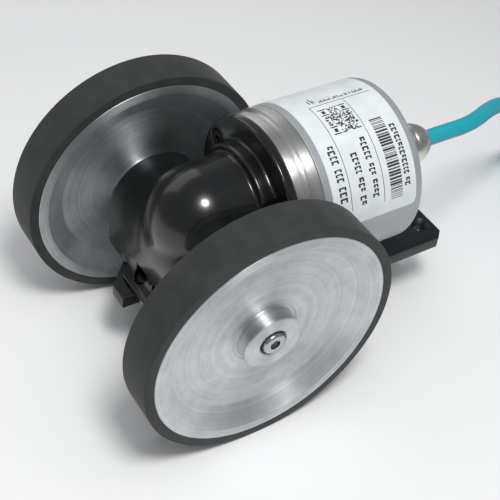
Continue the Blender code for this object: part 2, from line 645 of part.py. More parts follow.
def cap():
    rear = CAP_REAR
    edge = [(rear - CAP_EDGE + x, CAP_RADIUS - CAP_EDGE + r) for r, x in arc((0, 0), CAP_EDGE, 0, 90, 3)]
    outline = [(CAP_FRONT, CAP_INNER_RADIUS), (CAP_FRONT, CAP_RADIUS)] + edge
    outline += [(rear, 0), (CAP_INNER_REAR, 0), (CAP_INNER_REAR, CAP_INNER_RADIUS)]
    shell = turned("encoder_cap", outline, "silver_paint", on_encoder_axis(0), ALONG_Y, steps=40)
    cut(shell, rod("gland_hole", GLAND_STUB_RADIUS + GAP, CAP_INNER_REAR - 1, rear + 1, "silver_paint",
                   (GLAND_X, 0, GLAND_HEIGHT), ALONG_Y, steps=20))

    # Seal in the groove between the flange's shoulder and its spigot
    groove = CAP_INNER_RADIUS - GAP - 1.0
    turned("cap_seal", [(JOINT_Y + 0.35 + x, groove + 0.75 + r) for r, x in arc((0, 0.55), 0.5, 0, 270, 3)],
           "seal_rubber", on_encoder_axis(0), ALONG_Y, steps=28)


def gland():
    at = (GLAND_X, 0, GLAND_HEIGHT)
    stub_start = CAP_INNER_REAR - GLAND_STUB_REACH
    bore = GLAND_BORE_RADIUS
    body = [(stub_start, bore), (stub_start, GLAND_STUB_RADIUS), (GLAND_BODY_Y, GLAND_STUB_RADIUS),
            (GLAND_BODY_Y, GLAND_RADIUS), (GLAND_BODY_Y + GLAND_COLLAR, GLAND_RADIUS),
            (GLAND_BODY_Y + GLAND_COLLAR, bore)]
    turned("gland_body", body, "nickel", at, ALONG_Y, steps=24)

    start = GLAND_DOME_Y
    mouth = GLAND_MOUTH_Y
    reach = mouth - start
    bulge = math.degrees(math.acos(GLAND_MOUTH_RADIUS / GLAND_RADIUS))
    depth = reach / math.sin(math.radians(bulge))
    dome = [(start + depth * math.sin(a), GLAND_RADIUS * math.cos(a))
            for a in (math.radians(bulge * i / 6) for i in range(7))]
    hole = CABLE_RADIUS + GAP
    seat = CABLE_START_Y - GAP
    outline = [(start, bore)] + dome + [(mouth, hole), (seat, hole), (seat, bore)]
    turned("gland_nut", outline, "nickel", at, ALONG_Y, steps=24)
    seal_end = CABLE_START_Y - 2 * GAP
    ring("gland_seal", CABLE_RADIUS, bore - GAP, seal_end - GLAND_SEAL_LENGTH, seal_end, "seal_rubber",
         at, ALONG_Y, 20)


# ---------------------------------------------------------------- cable

def cable_route():
    """Out of the gland, sagging and turning left, down to the ground and up to the coil."""
    lying = GROUND + COIL_LIFT + COIL_PITCH / 2
    enter_x = COIL_CENTRE[0] - COIL_RADIUS - COIL_PITCH
    return [
        (GLAND_X, CABLE_START_Y, GLAND_HEIGHT),
        (GLAND_X, 72.0, GLAND_HEIGHT),
        (11.95, 79.0, 43.9),
        (11.6, 85.5, 43.5),
        (10.6, 90.5, 43.0),
        (9.0, 95.2, 42.4),
        (6.8, 100.2, 41.3),
        (4.2, 106.8, 39.4),
        (1.4, 114.4, 35.8),
        (-1.9, 122.6, 29.6),
        (-6.0, 131.0, 20.6),
        (-10.8, 139.0, 10.0),
        (-16.2, 146.6, -0.8),
        (-21.0, 153.6, -10.4),
        (-24.0, 160.4, -16.5),
        (enter_x, 167.5, lying),
        (enter_x, 175.0, lying),
        (enter_x, COIL_CENTRE[1] - GAP, lying),
    ]


def smooth_curve(points, spacing):
    """Catmull-Rom curve through the points, read at about equal steps."""
    knots = [Vector(p) for p in points]
    knots = [2 * knots[0] - knots[1]] + knots + [2 * knots[-1] - knots[-2]]
    fine = []
    for a, b, c, d in zip(knots, knots[1:], knots[2:], knots[3:]):
        for i in range(16):
            t = i / 16
            fine.append(0.5 * (2 * b + (c - a) * t + (2 * a - 5 * b + 4 * c - d) * t * t
                               + (3 * b - a - 3 * c + d) * t ** 3))
    fine.append(knots[-2])
    kept = [fine[0]]
    for point in fine[1:-1]:
        if (point - kept[-1]).length >= spacing:
            kept.append(point)
    if (fine[-1] - kept[-1]).length < spacing / 2:
        kept.pop()
    return kept + [fine[-1]]


def tube(name, points, radius, slot):
    curve = bpy.data.curves.new(name, "CURVE")
    curve.dimensions = "3D"
    curve.bevel_depth = radius * MM
    curve.bevel_resolution = 2
    curve.use_fill_caps = True
    line = curve.splines.new("POLY")
    line.points.add(len(points) - 1)
    for knot, point in zip(line.points, points):
        knot.co = (*(Vector(point) * MM), 1)
    curve.materials.append(material(slot))
    obj = bpy.data.objects.new(name, curve)
    bpy.context.collection.objects.link(obj)
    return obj


def cable():
    tube("cable", smooth_curve(cable_route(), 2.2 * 2 * CABLE_RADIUS), CABLE_RADIUS, "cable_teal")

    inner = COIL_RADIUS - COIL_REACH / 2
    outer = COIL_RADIUS + COIL_REACH / 2
    round_off = CABLE_RADIUS * 0.6
    low = GROUND + COIL_LIFT
    section = [(low, inner + round_off), (low, outer - round_off), (low + round_off, outer),
               (COIL_TOP - round_off, outer), (COIL_TOP, outer - round_off),
               (COIL_TOP, inner + round_off), (COIL_TOP - round_off, inner),
               (low + round_off, inner)]
    coil = turned("cable_coil", section, "cable_teal", (*COIL_CENTRE, 0), UPRIGHT, steps=24)
    x, y, z = cable_route()[-1]
    cut(coil, rod("cable_way", CABLE_RADIUS + GAP, -outer, GAP, "cable_teal", (x, y, z), ALONG_Y, steps=12))


def cable_end():
    """Shrink sleeve and bare cores, lying on top of the coil."""
    height = COIL_TOP + GAP + SLEEVE_RADIUS
    start_angle = -60.0
    along = math.degrees(SLEEVE_LENGTH / COIL_RADIUS)
    bend = arc(COIL_CENTRE, COIL_RADIUS, start_angle, start_angle - along, 4)
    tube("cable_sleeve", [(x, y, height) for x, y in bend], SLEEVE_RADIUS, "seal_rubber")

    first = start_angle - along - math.degrees(GAP / COIL_RADIUS)
    reach = math.degrees(CORE_LENGTH / COIL_RADIUS)
    for number in range(CORES):
        start = (number - (CORES - 1) / 2) * (2 * CORE_RADIUS - 0.15 + GAP / 2)
        spread = start * 2.6
        points = []
        for i in range(6):
            share = i / 5
            radius = COIL_RADIUS + start + (spread - start) * share ** 1.5
            angle = math.radians(first - reach * share)
            x = COIL_CENTRE[0] + radius * math.cos(angle)
            y = COIL_CENTRE[1] + radius * math.sin(angle)
            drop = (SLEEVE_RADIUS - CORE_RADIUS) * min(1.0, share * 1.6)
            points.append((x, y, height - drop))
        tube("core_%d" % (number + 1), points, CORE_RADIUS, "core_insulation")


# ---------------------------------------------------------------- assembly

def build():
    clear_scene()
    base_plate()
    base_screws()
    gear_housing()
    flange_screws()
    for sign, side in ((1, "near"), (-1, "far")):
        wheel(sign, side)
        shaft_supports(sign, side)
    wheel_shaft()
    gears()
    encoder_flange()
    encoder_bearings()
    encoder_rotor()
    encoder_board()
    cap()
    gland()
    cable()
    cable_end()


build()
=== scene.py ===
"""Looks of a length-measuring rotary encoder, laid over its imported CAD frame.

Shapes are worked out in millimetres and scaled to metres once, in new_mesh().
"""
import json
import math

import bmesh
import bpy
import numpy as np
from bpy.props import FloatProperty, StringProperty
from mathutils import Matrix, Vector


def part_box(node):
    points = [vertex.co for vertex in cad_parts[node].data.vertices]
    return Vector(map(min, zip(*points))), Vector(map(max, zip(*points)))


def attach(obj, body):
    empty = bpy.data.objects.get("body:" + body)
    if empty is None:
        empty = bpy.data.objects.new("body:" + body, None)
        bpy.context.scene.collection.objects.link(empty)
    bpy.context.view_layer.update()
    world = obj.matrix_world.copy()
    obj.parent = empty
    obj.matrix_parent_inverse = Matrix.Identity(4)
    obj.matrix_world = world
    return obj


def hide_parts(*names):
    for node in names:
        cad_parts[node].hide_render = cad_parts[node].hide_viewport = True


bl_info = {
    "name": "Measuring Wheel Encoder",
    "version": (1, 0, 0),
    "blender": (4, 5, 0),
    "location": "View3D > Sidebar > Encoder",
    "description": "Builds the visible surfaces of a two-wheel length-measuring encoder",
    "category": "Add Mesh",
}

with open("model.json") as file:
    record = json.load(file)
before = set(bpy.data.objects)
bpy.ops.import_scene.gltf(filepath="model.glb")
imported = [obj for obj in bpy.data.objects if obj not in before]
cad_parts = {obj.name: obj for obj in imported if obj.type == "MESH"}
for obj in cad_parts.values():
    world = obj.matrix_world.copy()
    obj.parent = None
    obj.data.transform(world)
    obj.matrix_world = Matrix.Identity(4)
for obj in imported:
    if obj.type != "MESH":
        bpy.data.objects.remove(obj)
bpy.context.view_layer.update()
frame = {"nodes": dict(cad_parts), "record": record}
MM = 0.001


# ---------------------------------------------------------------- places from the frame

def millimetres(node):
    """Lowest and highest corner of a CAD node, in millimetres."""
    low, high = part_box(node)
    return np.array(low) / MM, np.array(high) / MM


def axis_of(joint_name):
    """A point on a joint's axis, in millimetres."""
    for joint in frame["record"]["behaviour"]["joints"]:
        if joint["name"] == joint_name:
            return np.array(joint["pos_m"]) / MM
    raise RuntimeError("no joint " + joint_name)


WHEEL_AXIS = axis_of("wheel_spin")
ENCODER_AXIS = axis_of("encoder_spin")
TYRE_LOW, TYRE_HIGH = millimetres("wheel_tyre_near")
HUB_LOW, HUB_HIGH = millimetres("wheel_hub_near")
CAP_LOW, CAP_HIGH = millimetres("encoder_cap")
HOUSING_LOW, HOUSING_HIGH = millimetres("gear_housing")
GLAND_LOW, GLAND_HIGH = millimetres("gland_nut")
COIL_LOW, COIL_HIGH = millimetres("cable_coil")
GROUND = TYRE_LOW[2]
TYRE_RADIUS = (TYRE_HIGH[2] - TYRE_LOW[2]) / 2
HUB_RADIUS = (HUB_HIGH[2] - HUB_LOW[2]) / 2
CAP_RADIUS = (CAP_HIGH[2] - CAP_LOW[2]) / 2
GLAND_AXIS = (GLAND_LOW + GLAND_HIGH) / 2


# ---------------------------------------------------------------- colour and nodes

def linear(hex_colour, alpha=1.0):
    """sRGB hex colour as the linear values that a shader reads."""
    value = np.array([int(hex_colour[i:i + 2], 16) for i in (1, 3, 5)]) / 255
    low = value / 12.92
    high = ((value + 0.055) / 1.055) ** 2.4
    return (*np.where(value <= 0.04045, low, high).tolist(), alpha)


def add(tree, kind, links=(), **settings):
    """Add one node. Settings that name an input set it, in0 or in1 by its number; the rest are the
    node's own. A link's source is a socket, or a node for its first output."""
    node = tree.nodes.new("ShaderNode" + kind)
    for name, value in settings.items():
        if hasattr(node, name):
            setattr(node, name, value)
        else:
            key = int(name[2:]) if name.startswith("in") and name[2:].isdigit() else name.replace("_", " ")
            node.inputs[key].default_value = value
    for source, target in links:
        tree.links.new(source if isinstance(source, bpy.types.NodeSocket) else source.outputs[0],
                       node.inputs[target])
    return node


def new_material(name, **surface):
    """A material with one Principled shader; surface gives the shader's fixed values."""
    made = bpy.data.materials.new(name)
    made.use_nodes = True
    tree = made.node_tree
    shader = tree.nodes["Principled BSDF"]
    for key, value in surface.items():
        shader.inputs[key.replace("_", " ")].default_value = value
    return made, tree, shader


def object_millimetres(tree):
    """Object coordinates in millimetres."""
    where = add(tree, "TexCoord")
    scaled = add(tree, "VectorMath", [(where.outputs["Object"], 0)], operation="SCALE", Scale=1000.0)
    return scaled.outputs["Vector"]


def stops(ramp, *pairs):
    """Give a colour ramp its (position, hex) stops."""
    elements = ramp.color_ramp.elements
    while len(elements) < len(pairs):
        elements.new(0.5)
    for element, (position, hex_colour) in zip(elements, pairs):
        element.position, element.color = position, linear(hex_colour)
    return ramp


def radius_about(tree, point, centre, axis):
    """Distance from an axis through centre (mm), and the place along it."""
    moved = add(tree, "VectorMath", [(point, 0)], operation="SUBTRACT", in1=tuple(centre))
    flat = [1.0, 1.0, 1.0]
    flat["XYZ".index(axis)] = 0.0
    across = add(tree, "VectorMath", [(moved, 0)], operation="MULTIPLY", in1=tuple(flat))
    length = add(tree, "VectorMath", [(across, 0)], operation="LENGTH")
    apart = add(tree, "SeparateXYZ", [(moved, 0)])
    return length.outputs["Value"], apart.outputs[axis]


def surface_finish(tree, shader, tone, colours, grit, roughness, relief, depth, under=None):
    """What every finish here has: colour that follows tone through a ramp, roughness that follows
    grit between two values, and relief of a depth in millimetres, over any coarser relief. With no
    colours the shader keeps its own."""
    if colours:
        ramp = stops(add(tree, "ValToRGB", [(tone, "Fac")]), *colours)
        tree.links.new(ramp.outputs["Color"], shader.inputs["Base Color"])
    spread = add(tree, "MapRange", [(grit, "Value")], To_Min=roughness[0], To_Max=roughness[1])
    tree.links.new(spread.outputs["Result"], shader.inputs["Roughness"])
    bump = add(tree, "Bump", [(relief, "Height")], Strength=1.0, Distance=depth * MM)
    if under:
        coarse = add(tree, "Bump", [(under[0], "Height")], Strength=1.0, Distance=under[1] * MM)
        tree.links.new(coarse.outputs["Normal"], bump.inputs["Normal"])
    tree.links.new(bump.outputs["Normal"], shader.inputs["Normal"])


# ---------------------------------------------------------------- materials

def coated_casting():
    """Gloss black coat on a die casting: a thin even film, so the metal under it shows only as
    slight waviness; deep black, with soft lamps and faint specks of dust."""
    made, tree, shader = new_material("gloss_black_coated_casting", Metallic=0.0, IOR=1.5,
                                      Coat_Weight=0.5, Coat_Roughness=0.1)
    point = object_millimetres(tree)
    peel = add(tree, "TexNoise", [(point, "Vector")], Scale=0.9, Detail=2.0)       # orange peel, 1 mm
    grain = add(tree, "TexNoise", [(point, "Vector")], Scale=7.0, Detail=4.0, Roughness=0.6)
    surface_finish(tree, shader, grain, [(0.35, "#0b0c0d"), (0.64, "#0f1011"), (0.8, "#1d1f20")],
                   grain, (0.2, 0.32), grain, 0.003, (peel, 0.012))
    return made


def coated_plate():
    """Black powder coat on the base plate: satin, with the fine pebble of baked powder."""
    made, tree, shader = new_material("black_powder_coat", Metallic=0.0, IOR=1.5)
    point = object_millimetres(tree)
    pebble = add(tree, "TexNoise", [(point, "Vector")], Scale=1.6, Detail=3.0)     # pebble about 0.6 mm
    wear = add(tree, "TexNoise", [(point, "Vector")], Scale=0.12, Detail=4.0, Roughness=0.65)
    surface_finish(tree, shader, wear, [(0.3, "#101214"), (0.6, "#15181a"), (0.8, "#222527")],
                   wear, (0.34, 0.52), pebble, 0.03)
    return made


def turned_metal(name, centre, axis, colours, roughness, anisotropic=0.8, depth=0.003):
    """Metal off the lathe: the tool leaves rings about the axis, so light spreads across them in
    bright fans. Real rings are about 0.08 mm apart; they are drawn 0.3 mm, so that a few show."""
    made, tree, shader = new_material(name, Metallic=1.0, Anisotropic=anisotropic, Anisotropic_Rotation=0.25)
    point = object_millimetres(tree)
    radius, along = radius_about(tree, point, centre, axis)
    rings = add(tree, "CombineXYZ", [(radius, "X"), (along, "Y")])
    fine = add(tree, "TexNoise", [(rings, "Vector")], Scale=3.2, Detail=3.0, Roughness=0.8)
    bands = add(tree, "TexNoise", [(rings, "Vector")], Scale=0.7, Detail=2.0)
    smudge = add(tree, "TexNoise", [(point, "Vector")], Scale=0.12, Detail=5.0, Roughness=0.65)
    lay = add(tree, "Mix", [(fine, 2), (bands, 3)], data_type="FLOAT", in0=0.3)
    tone = add(tree, "Mix", [(lay, 2), (smudge, 3)], data_type="FLOAT", in0=0.35)
    surface_finish(tree, shader, tone, zip((0.36, 0.5, 0.64), colours), tone, roughness, fine, depth)
    tangent = add(tree, "Tangent", direction_type="UV_MAP", uv_map="turn")
    tree.links.new(tangent.outputs["Tangent"], shader.inputs["Tangent"])
    return made


def plain_metal(name, colours, roughness, per_mm=1.2, depth=0.004, metallic=1.0):
    """Machined or plated metal seen from any side: faint clouding and a fine random scratch."""
    made, tree, shader = new_material(name, Metallic=metallic)
    cloud = add(tree, "TexNoise", [(object_millimetres(tree), "Vector")], Scale=per_mm, Detail=5.0,
                Roughness=0.6)
    surface_finish(tree, shader, cloud, zip((0.35, 0.65), colours), cloud, roughness, cloud, depth)
    return made


def ground_rubber():
    """Carbon-filled nitrile rubber, its tread ground true: matt, with a velvety grain."""
    made, tree, shader = new_material("ground_nitrile_rubber", Metallic=0.0, IOR=1.52, Sheen_Weight=0.1,
                                      Sheen_Roughness=0.5, Specular_IOR_Level=0.25)
    point = object_millimetres(tree)
    grit = add(tree, "TexNoise", [(point, "Vector")], Scale=5.0, Detail=4.0, Roughness=0.7)   # grit, 0.2 mm
    patch = add(tree, "TexNoise", [(point, "Vector")], Scale=0.14, Detail=3.0)
    tone = add(tree, "Mix", [(grit, 2), (patch, 3)], data_type="FLOAT", in0=0.5)
    surface_finish(tree, shader, tone, [(0.35, "#2a2b2b"), (0.5, "#313333"), (0.68, "#3c3d3c")],
                   grit, (0.62, 0.85), grit, 0.03)
    return made


def silver_enamel():
    """Silver-grey stoved enamel over the cap: fine aluminium flake under a satin skin."""
    made, tree, shader = new_material("silver_grey_enamel", Metallic=0.35, IOR=1.5)
    point = object_millimetres(tree)
    flake = add(tree, "TexVoronoi", [(point, "Vector")], Scale=6.0)   # drawn 0.16 mm, coarser than real flake
    cloud = add(tree, "TexNoise", [(point, "Vector")], Scale=0.15, Detail=3.0)
    tone = add(tree, "Mix", [(flake, 2), (cloud, 3)], data_type="FLOAT", in0=0.5)
    surface_finish(tree, shader, tone, [(0.2, "#9ca1a4"), (0.45, "#a5aaad"), (0.7, "#b0b4b7")],
                   flake, (0.34, 0.46), flake, 0.004)
    return made


def label_film():
    """White polyester label film: smooth, semi-gloss, faintly uneven where it is pressed down."""
    made, tree, shader = new_material("white_polyester_film", Metallic=0.0, IOR=1.57)
    wave = add(tree, "TexNoise", [(object_millimetres(tree), "Vector")], Scale=0.2, Detail=2.0)
    surface_finish(tree, shader, wave, [(0.35, "#dbe0e2"), (0.65, "#e4e8e9")], wave, (0.34, 0.42),
                   wave, 0.015)
    return made


def printed_ink():
    """Thermal-transfer black resin ink: flat dark grey with a slightly ragged tone."""
    made, tree, shader = new_material("black_resin_ink", Metallic=0.0, IOR=1.5)
    tone = add(tree, "TexNoise", [(object_millimetres(tree), "Vector")], Scale=5.0, Detail=3.0)
    surface_finish(tree, shader, tone, [(0.3, "#22272b"), (0.7, "#363c41")], tone, (0.45, 0.55), tone, 0.002)
    return made


def polyurethane_jacket(name, colours):
    """Extruded polyurethane cable jacket: satin, slightly waxy, with faint lengthwise drawing."""
    made, tree, shader = new_material(name, Metallic=0.0, IOR=1.5, Sheen_Weight=0.05)
    uv = add(tree, "UVMap", uv_map="turn")
    drawn = add(tree, "VectorMath", [(uv, 0)], operation="MULTIPLY", in1=(40.0, 3.0, 1.0))
    line = add(tree, "TexNoise", [(drawn, "Vector")], Scale=1.0, Detail=3.0)
    matt = add(tree, "TexNoise", [(object_millimetres(tree), "Vector")], Scale=3.0, Detail=4.0)
    surface_finish(tree, shader, line, zip((0.3, 0.7), colours), matt, (0.38, 0.55), matt, 0.008)
    return made


def moulded_plastic(name, colours, roughness, per_mm=2.5, depth=0.01):
    """Moulded or pressed part with a fine matt texture."""
    made, tree, shader = new_material(name, Metallic=0.0, IOR=1.5)
    grain = add(tree, "TexNoise", [(object_millimetres(tree), "Vector")], Scale=per_mm, Detail=4.0)
    surface_finish(tree, shader, grain, zip((0.3, 0.7), colours), grain, roughness, grain, depth)
    return made


def disc_track():
    """Glass code disc: clear, with a chrome track of fine radial slots near its edge."""
    made, tree, shader = new_material("glass_with_chrome_track", IOR=1.5)
    point = object_millimetres(tree)
    moved = add(tree, "VectorMath", [(point, 0)], operation="SUBTRACT", in1=tuple(ENCODER_AXIS))
    apart = add(tree, "SeparateXYZ", [(moved, 0)])
    angle = add(tree, "Math", [(apart.outputs["Z"], 0), (apart.outputs["X"], 1)], operation="ARCTAN2")
    turns = add(tree, "Math", [(angle, 0)], operation="MULTIPLY", in1=125.0)
    slots = add(tree, "Math", [(turns, 0)], operation="SINE")
    radius, _ = radius_about(tree, point, ENCODER_AXIS, "Y")
    track = add(tree, "Math", [(radius, 0)], operation="COMPARE", in1=13.5, in2=1.3)
    dark = add(tree, "Math", [(slots, 0), (track, 1)], operation="MULTIPLY")
    haze = add(tree, "TexNoise", [(point, "Vector")], Scale=0.5, Detail=2.0)
    surface_finish(tree, shader, dark, [(0.0, "#b9c4c8"), (0.4, "#2b2f33")], haze, (0.06, 0.12), haze, 0.001)
    return made


def stage_paper(colour):
    """Seamless background paper, matt and very slightly fibrous."""
    made, tree, shader = new_material("seamless_paper", Metallic=0.0, Specular_IOR_Level=0.05,
                                      Base_Color=linear(colour))
    fibre = add(tree, "TexNoise", [(object_millimetres(tree), "Vector")], Scale=0.06, Detail=3.0)
    surface_finish(tree, shader, fibre, None, fibre, (0.9, 1.0), fibre, 0.001)
    return made


def core_insulation(hex_colour):
    """PVC insulation on a stranded core: smooth, with a faint cloudiness."""
    dark = "#" + "".join("%02x" % int(int(hex_colour[i:i + 2], 16) * 0.86) for i in (1, 3, 5))
    return moulded_plastic("pvc_core_" + hex_colour[1:], (dark, hex_colour), (0.35, 0.48), 1.5, 0.006)


FINISHES = {
    "aluminium": lambda: plain_metal("machined_aluminium", ("#bfc2c4", "#d6d8d9"), (0.25, 0.4)),
    "steel": lambda: plain_metal("ground_bearing_steel", ("#9fa1a3", "#bcbec0"), (0.18, 0.3)),
    "black_steel": lambda: plain_metal("black_oxide_steel", ("#0e0f10", "#191a1b"), (0.3, 0.45),
                                       metallic=0.4),
    "zinc_steel": lambda: plain_metal("bright_zinc_plated_steel", ("#a5aaad", "#c6cacc"), (0.2, 0.34)),
    "brass": lambda: plain_metal("free_cutting_brass", ("#b08d4a", "#cfae6b"), (0.22, 0.36)),
    "nickel": lambda: plain_metal("nickel_plated_brass", ("#c2bfb6", "#dad8d1"), (0.2, 0.32), 0.8),
    "rubber": ground_rubber,
    "cast_black": coated_casting,
    "plate_black": coated_plate,
    "silver_paint": silver_enamel,
    "seal_rubber": lambda: moulded_plastic("moulded_nitrile_seal", ("#141515", "#202222"), (0.6, 0.8)),
    "board_green": lambda: moulded_plastic("solder_mask_on_glass_epoxy", ("#0f4a2c", "#176239"),
                                           (0.3, 0.45), 1.2),
    "chip_black": lambda: moulded_plastic("moulded_epoxy", ("#18191a", "#242627"), (0.45, 0.6), 4.0),
    "disc_glass": disc_track,
    "cable_teal": lambda: polyurethane_jacket("teal_polyurethane_jacket", ("#0f96a6", "#17aaba")),
    "core_insulation": lambda: moulded_plastic("core_insulation", ("#7a5a34", "#8f6b40"), (0.4, 0.5)),
}
made_finishes = {}


def finish(slot_name):
    """The shared material of a record slot, made the first time it is asked for."""
    if slot_name not in made_finishes:
        made_finishes[slot_name] = FINISHES[slot_name]()
    return made_finishes[slot_name]


# ---------------------------------------------------------------- surfaces

def new_mesh(name, points, faces, uv=None, material=None, sharp=38.0, weld=True):
    """Mesh from an (n, 3) array in millimetres; uv is one pair for each face corner."""
    data = bpy.data.meshes.new(name)
    data.from_pydata((np.asarray(points) * MM).tolist(), [], np.asarray(faces).tolist())
    if uv is not None:
        layer = data.uv_layers.new(name="turn")
        layer.data.foreach_set("uv", np.asarray(uv, dtype=np.float32).ravel())
    if weld:
        bm = bmesh.new()
        bm.from_mesh(data)
        bmesh.ops.remove_doubles(bm, verts=bm.verts, dist=1e-7)
        bmesh.ops.dissolve_degenerate(bm, edges=bm.edges, dist=1e-8)
        bmesh.ops.recalc_face_normals(bm, faces=bm.faces)
        bm.to_mesh(data)
        bm.free()
    data.shade_smooth()
    if sharp:
        data.set_sharp_from_angle(angle=math.radians(sharp))
    obj = bpy.data.objects.new(name, data)
    bpy.context.scene.collection.objects.link(obj)
    if material:
        data.materials.append(material)
    return obj


def grid_faces(rows, columns, close_rows=False, close_columns=False):
    """Quads over a grid of points, and the (row, column) of each corner for its texture place."""
    i, j = np.meshgrid(np.arange(rows - (not close_rows)), np.arange(columns - (not close_columns)),
                       indexing="ij")
    i, j = i.ravel(), j.ravel()
    corner_rows = np.stack([i, i, i + 1, i + 1], axis=1)
    corner_columns = np.stack([j, j + 1, j + 1, j], axis=1)
    faces = (corner_rows % rows) * columns + corner_columns % columns
    return faces, corner_rows, corner_columns


def surface(name, grid, close_rows=False, close_columns=False, material=None, sharp=38.0):
    """A surface from a (rows, columns, 3) grid; texture u runs with the columns, v with the rows."""
    rows, columns = grid.shape[:2]
    faces, r, c = grid_faces(rows, columns, close_rows, close_columns)
    uv = np.stack([c / max(columns, 1), r / max(rows, 1)], axis=-1).reshape(-1, 2)
    return new_mesh(name, grid.reshape(-1, 3), faces, uv, material, sharp)


def rounded(outline, radius, steps=4):
    """Closed outline with its corners rounded: each corner becomes a quadratic curve that starts
    and ends radius away from it, or nearly half the side where the side is short."""
    here = np.asarray(outline, float)
    reach = np.broadcast_to(np.asarray(radius, float), (len(here),))[:, None]
    back, ahead = np.roll(here, 1, 0) - here, np.roll(here, -1, 0) - here
    cut_back = np.minimum(reach, 0.49 * np.linalg.norm(back, axis=1, keepdims=True))
    cut_ahead = np.minimum(reach, 0.49 * np.linalg.norm(ahead, axis=1, keepdims=True))
    start = here + back / np.linalg.norm(back, axis=1, keepdims=True) * cut_back
    end = here + ahead / np.linalg.norm(ahead, axis=1, keepdims=True) * cut_ahead
    t = np.linspace(0, 1, steps + 1)[None, :, None]
    curve = (1 - t) ** 2 * start[:, None] + 2 * t * (1 - t) * here[:, None] + t ** 2 * end[:, None]
    return curve.reshape(-1, here.shape[1])


def rounded_section(section, steps=4):
    """A section of (along, radius, corner rounding) rows with its corners rounded."""
    section = np.array(section, float)
    return rounded(section[:, :2], section[:, 2], steps)


def frame_of(axis, sign=1):
    """Columns: two directions across an axis and the direction along it."""
    basis = {"X": np.array([[0, 0, sign], [1, 0, 0], [0, sign, 0]]),
             "Y": np.array([[1, 0, 0], [0, 0, sign], [0, -1, 0]]),
             "Z": np.array([[1, 0, 0], [0, 1, 0], [0, 0, sign]])}[axis].astype(float)
    if axis == "Y" and sign < 0:
        basis = np.array([[1, 0, 0], [0, 0, -1], [0, 1, 0]], float)
    return basis


def lathe(name, outline, centre, axis, material, sign=1, steps=160, sharp=38.0, shape=None):
    """Turn a closed outline of (along, radius) about an axis: point = centre + along * axis
    + radius * (cos, sin) across it. shape(along, radius, angle) may change the radius."""
    outline = np.asarray(outline, float)
    angle = np.linspace(0, 2 * np.pi, steps, endpoint=False)
    along, a = np.meshgrid(outline[:, 0], angle, indexing="ij")
    radius = np.broadcast_to(outline[:, 1:2], along.shape).copy()
    if shape:
        radius = shape(along, radius, a)
    local = np.stack([radius * np.cos(a), radius * np.sin(a), along], axis=-1)
    grid = np.asarray(centre, float) + local @ frame_of(axis, sign).T
    return surface(name, grid, close_rows=True, close_columns=True, material=material, sharp=sharp)


def hexagon_radius(across_flats, angle):
    """Radius of a hexagon at each angle: half the flats over the cosine from the nearest flat."""
    return across_flats / 2 / np.cos((angle + np.pi / 6) % (np.pi / 3) - np.pi / 6)


def socket_screw(name, outline, edges, seat, axis, sign, height, flats, material):
    """A screw turned from an outline (along, radius) whose last three points are its hexagon
    socket: the walls there follow a hexagon instead of a circle."""
    floor = 0.45 * height
    outline = rounded([*outline, (height, flats * 0.56), (floor, flats * 0.56), (floor - 0.3, 0.0)],
                      [*edges, 0.08, 0.05, 0], 4)

    def shape(along, radius, angle):
        inside = (radius <= flats * 0.57) & (radius > 1e-6) & (along > floor - 0.31)
        return np.where(inside, radius * hexagon_radius(flats, angle) / (flats * 0.56), radius)

    return lathe(name, outline, seat, axis, material, sign, 120, 30.0, shape)


def cap_screw(name, seat, axis, sign, head, height, flats, shank, length, edge, material):
    """Socket head cap screw, its head's edge rounded by edge."""
    outline = [(-length, 0.0), (-length, shank), (0, shank), (0, head), (height, head)]
    return socket_screw(name, outline, [0, 0.15, 0.05, 0.1, edge], seat, axis, sign, height, flats, material)


def sunk_screw(name, face, axis, sign, head, height, flats, shank, length, material):
    """Countersunk screw whose flat top lies in the face: a cone from the shank to the head."""
    seat = np.array(face, float)
    seat["XYZ".index(axis)] -= sign * height
    outline = [(-length, 0.0), (-length, shank), (0, shank), (height - 0.25, head), (height, head)]
    return socket_screw(name, outline, [0, 0.15, 0.1, 0.08, 0.08], seat, axis, sign, height, flats, material)


# Head radius, head height, hexagon across flats and shank radius of each screw, millimetres
M4_CAP = (3.5, 4.0, 3.0, 2.0)
M3_LOW_CAP = (2.75, 1.7, 2.0, 1.5)
M3_SUNK = (2.8, 1.7, 2.0, 1.5)


def smooth_path(points, per_span=8):
    """Catmull-Rom curve: each span is the cubic through its two ends with chord tangents."""
    p = np.asarray(points, float)
    p = np.vstack([2 * p[0] - p[1], p, 2 * p[-1] - p[-2]])
    a, b, c, d = p[:-3, None], p[1:-2, None], p[2:-1, None], p[3:, None]
    t = np.linspace(0, 1, per_span, endpoint=False)[None, :, None]
    spans = 0.5 * (2 * b + (c - a) * t + (2 * a - 5 * b + 4 * c - d) * t ** 2
                   + (3 * b - a - 3 * c + d) * t ** 3)
    return np.vstack([spans.reshape(-1, 3), p[-2]])


def tube(name, path, radius, material, sides=20):
    """Round tube: circles of the radius across the path, in a frame of its tangent, the level
    direction beside it and their cross product; the ends are closed by pinching to a point."""
    path = np.asarray(path, float)
    tangent = np.gradient(path, axis=0)
    tangent /= np.linalg.norm(tangent, axis=1, keepdims=True)
    side = np.cross(tangent, [0.0, 0.0, 1.0])
    side /= np.linalg.norm(side, axis=1, keepdims=True)
    up = np.cross(side, tangent)
    around = np.linspace(0, 2 * np.pi, sides, endpoint=False)
    radii = np.broadcast_to(np.asarray(radius, float), (len(path),))
    ring = path[:, None] + radii[:, None, None] * (np.cos(around)[None, :, None] * side[:, None]
                                                   + np.sin(around)[None, :, None] * up[:, None])
    ends = [np.broadcast_to(path[i], (1, sides, 3)) for i in (0, -1)]
    grid = np.concatenate([ends[0], ring, ends[1]])
    return surface(name, grid, close_columns=True, material=material, sharp=50.0)


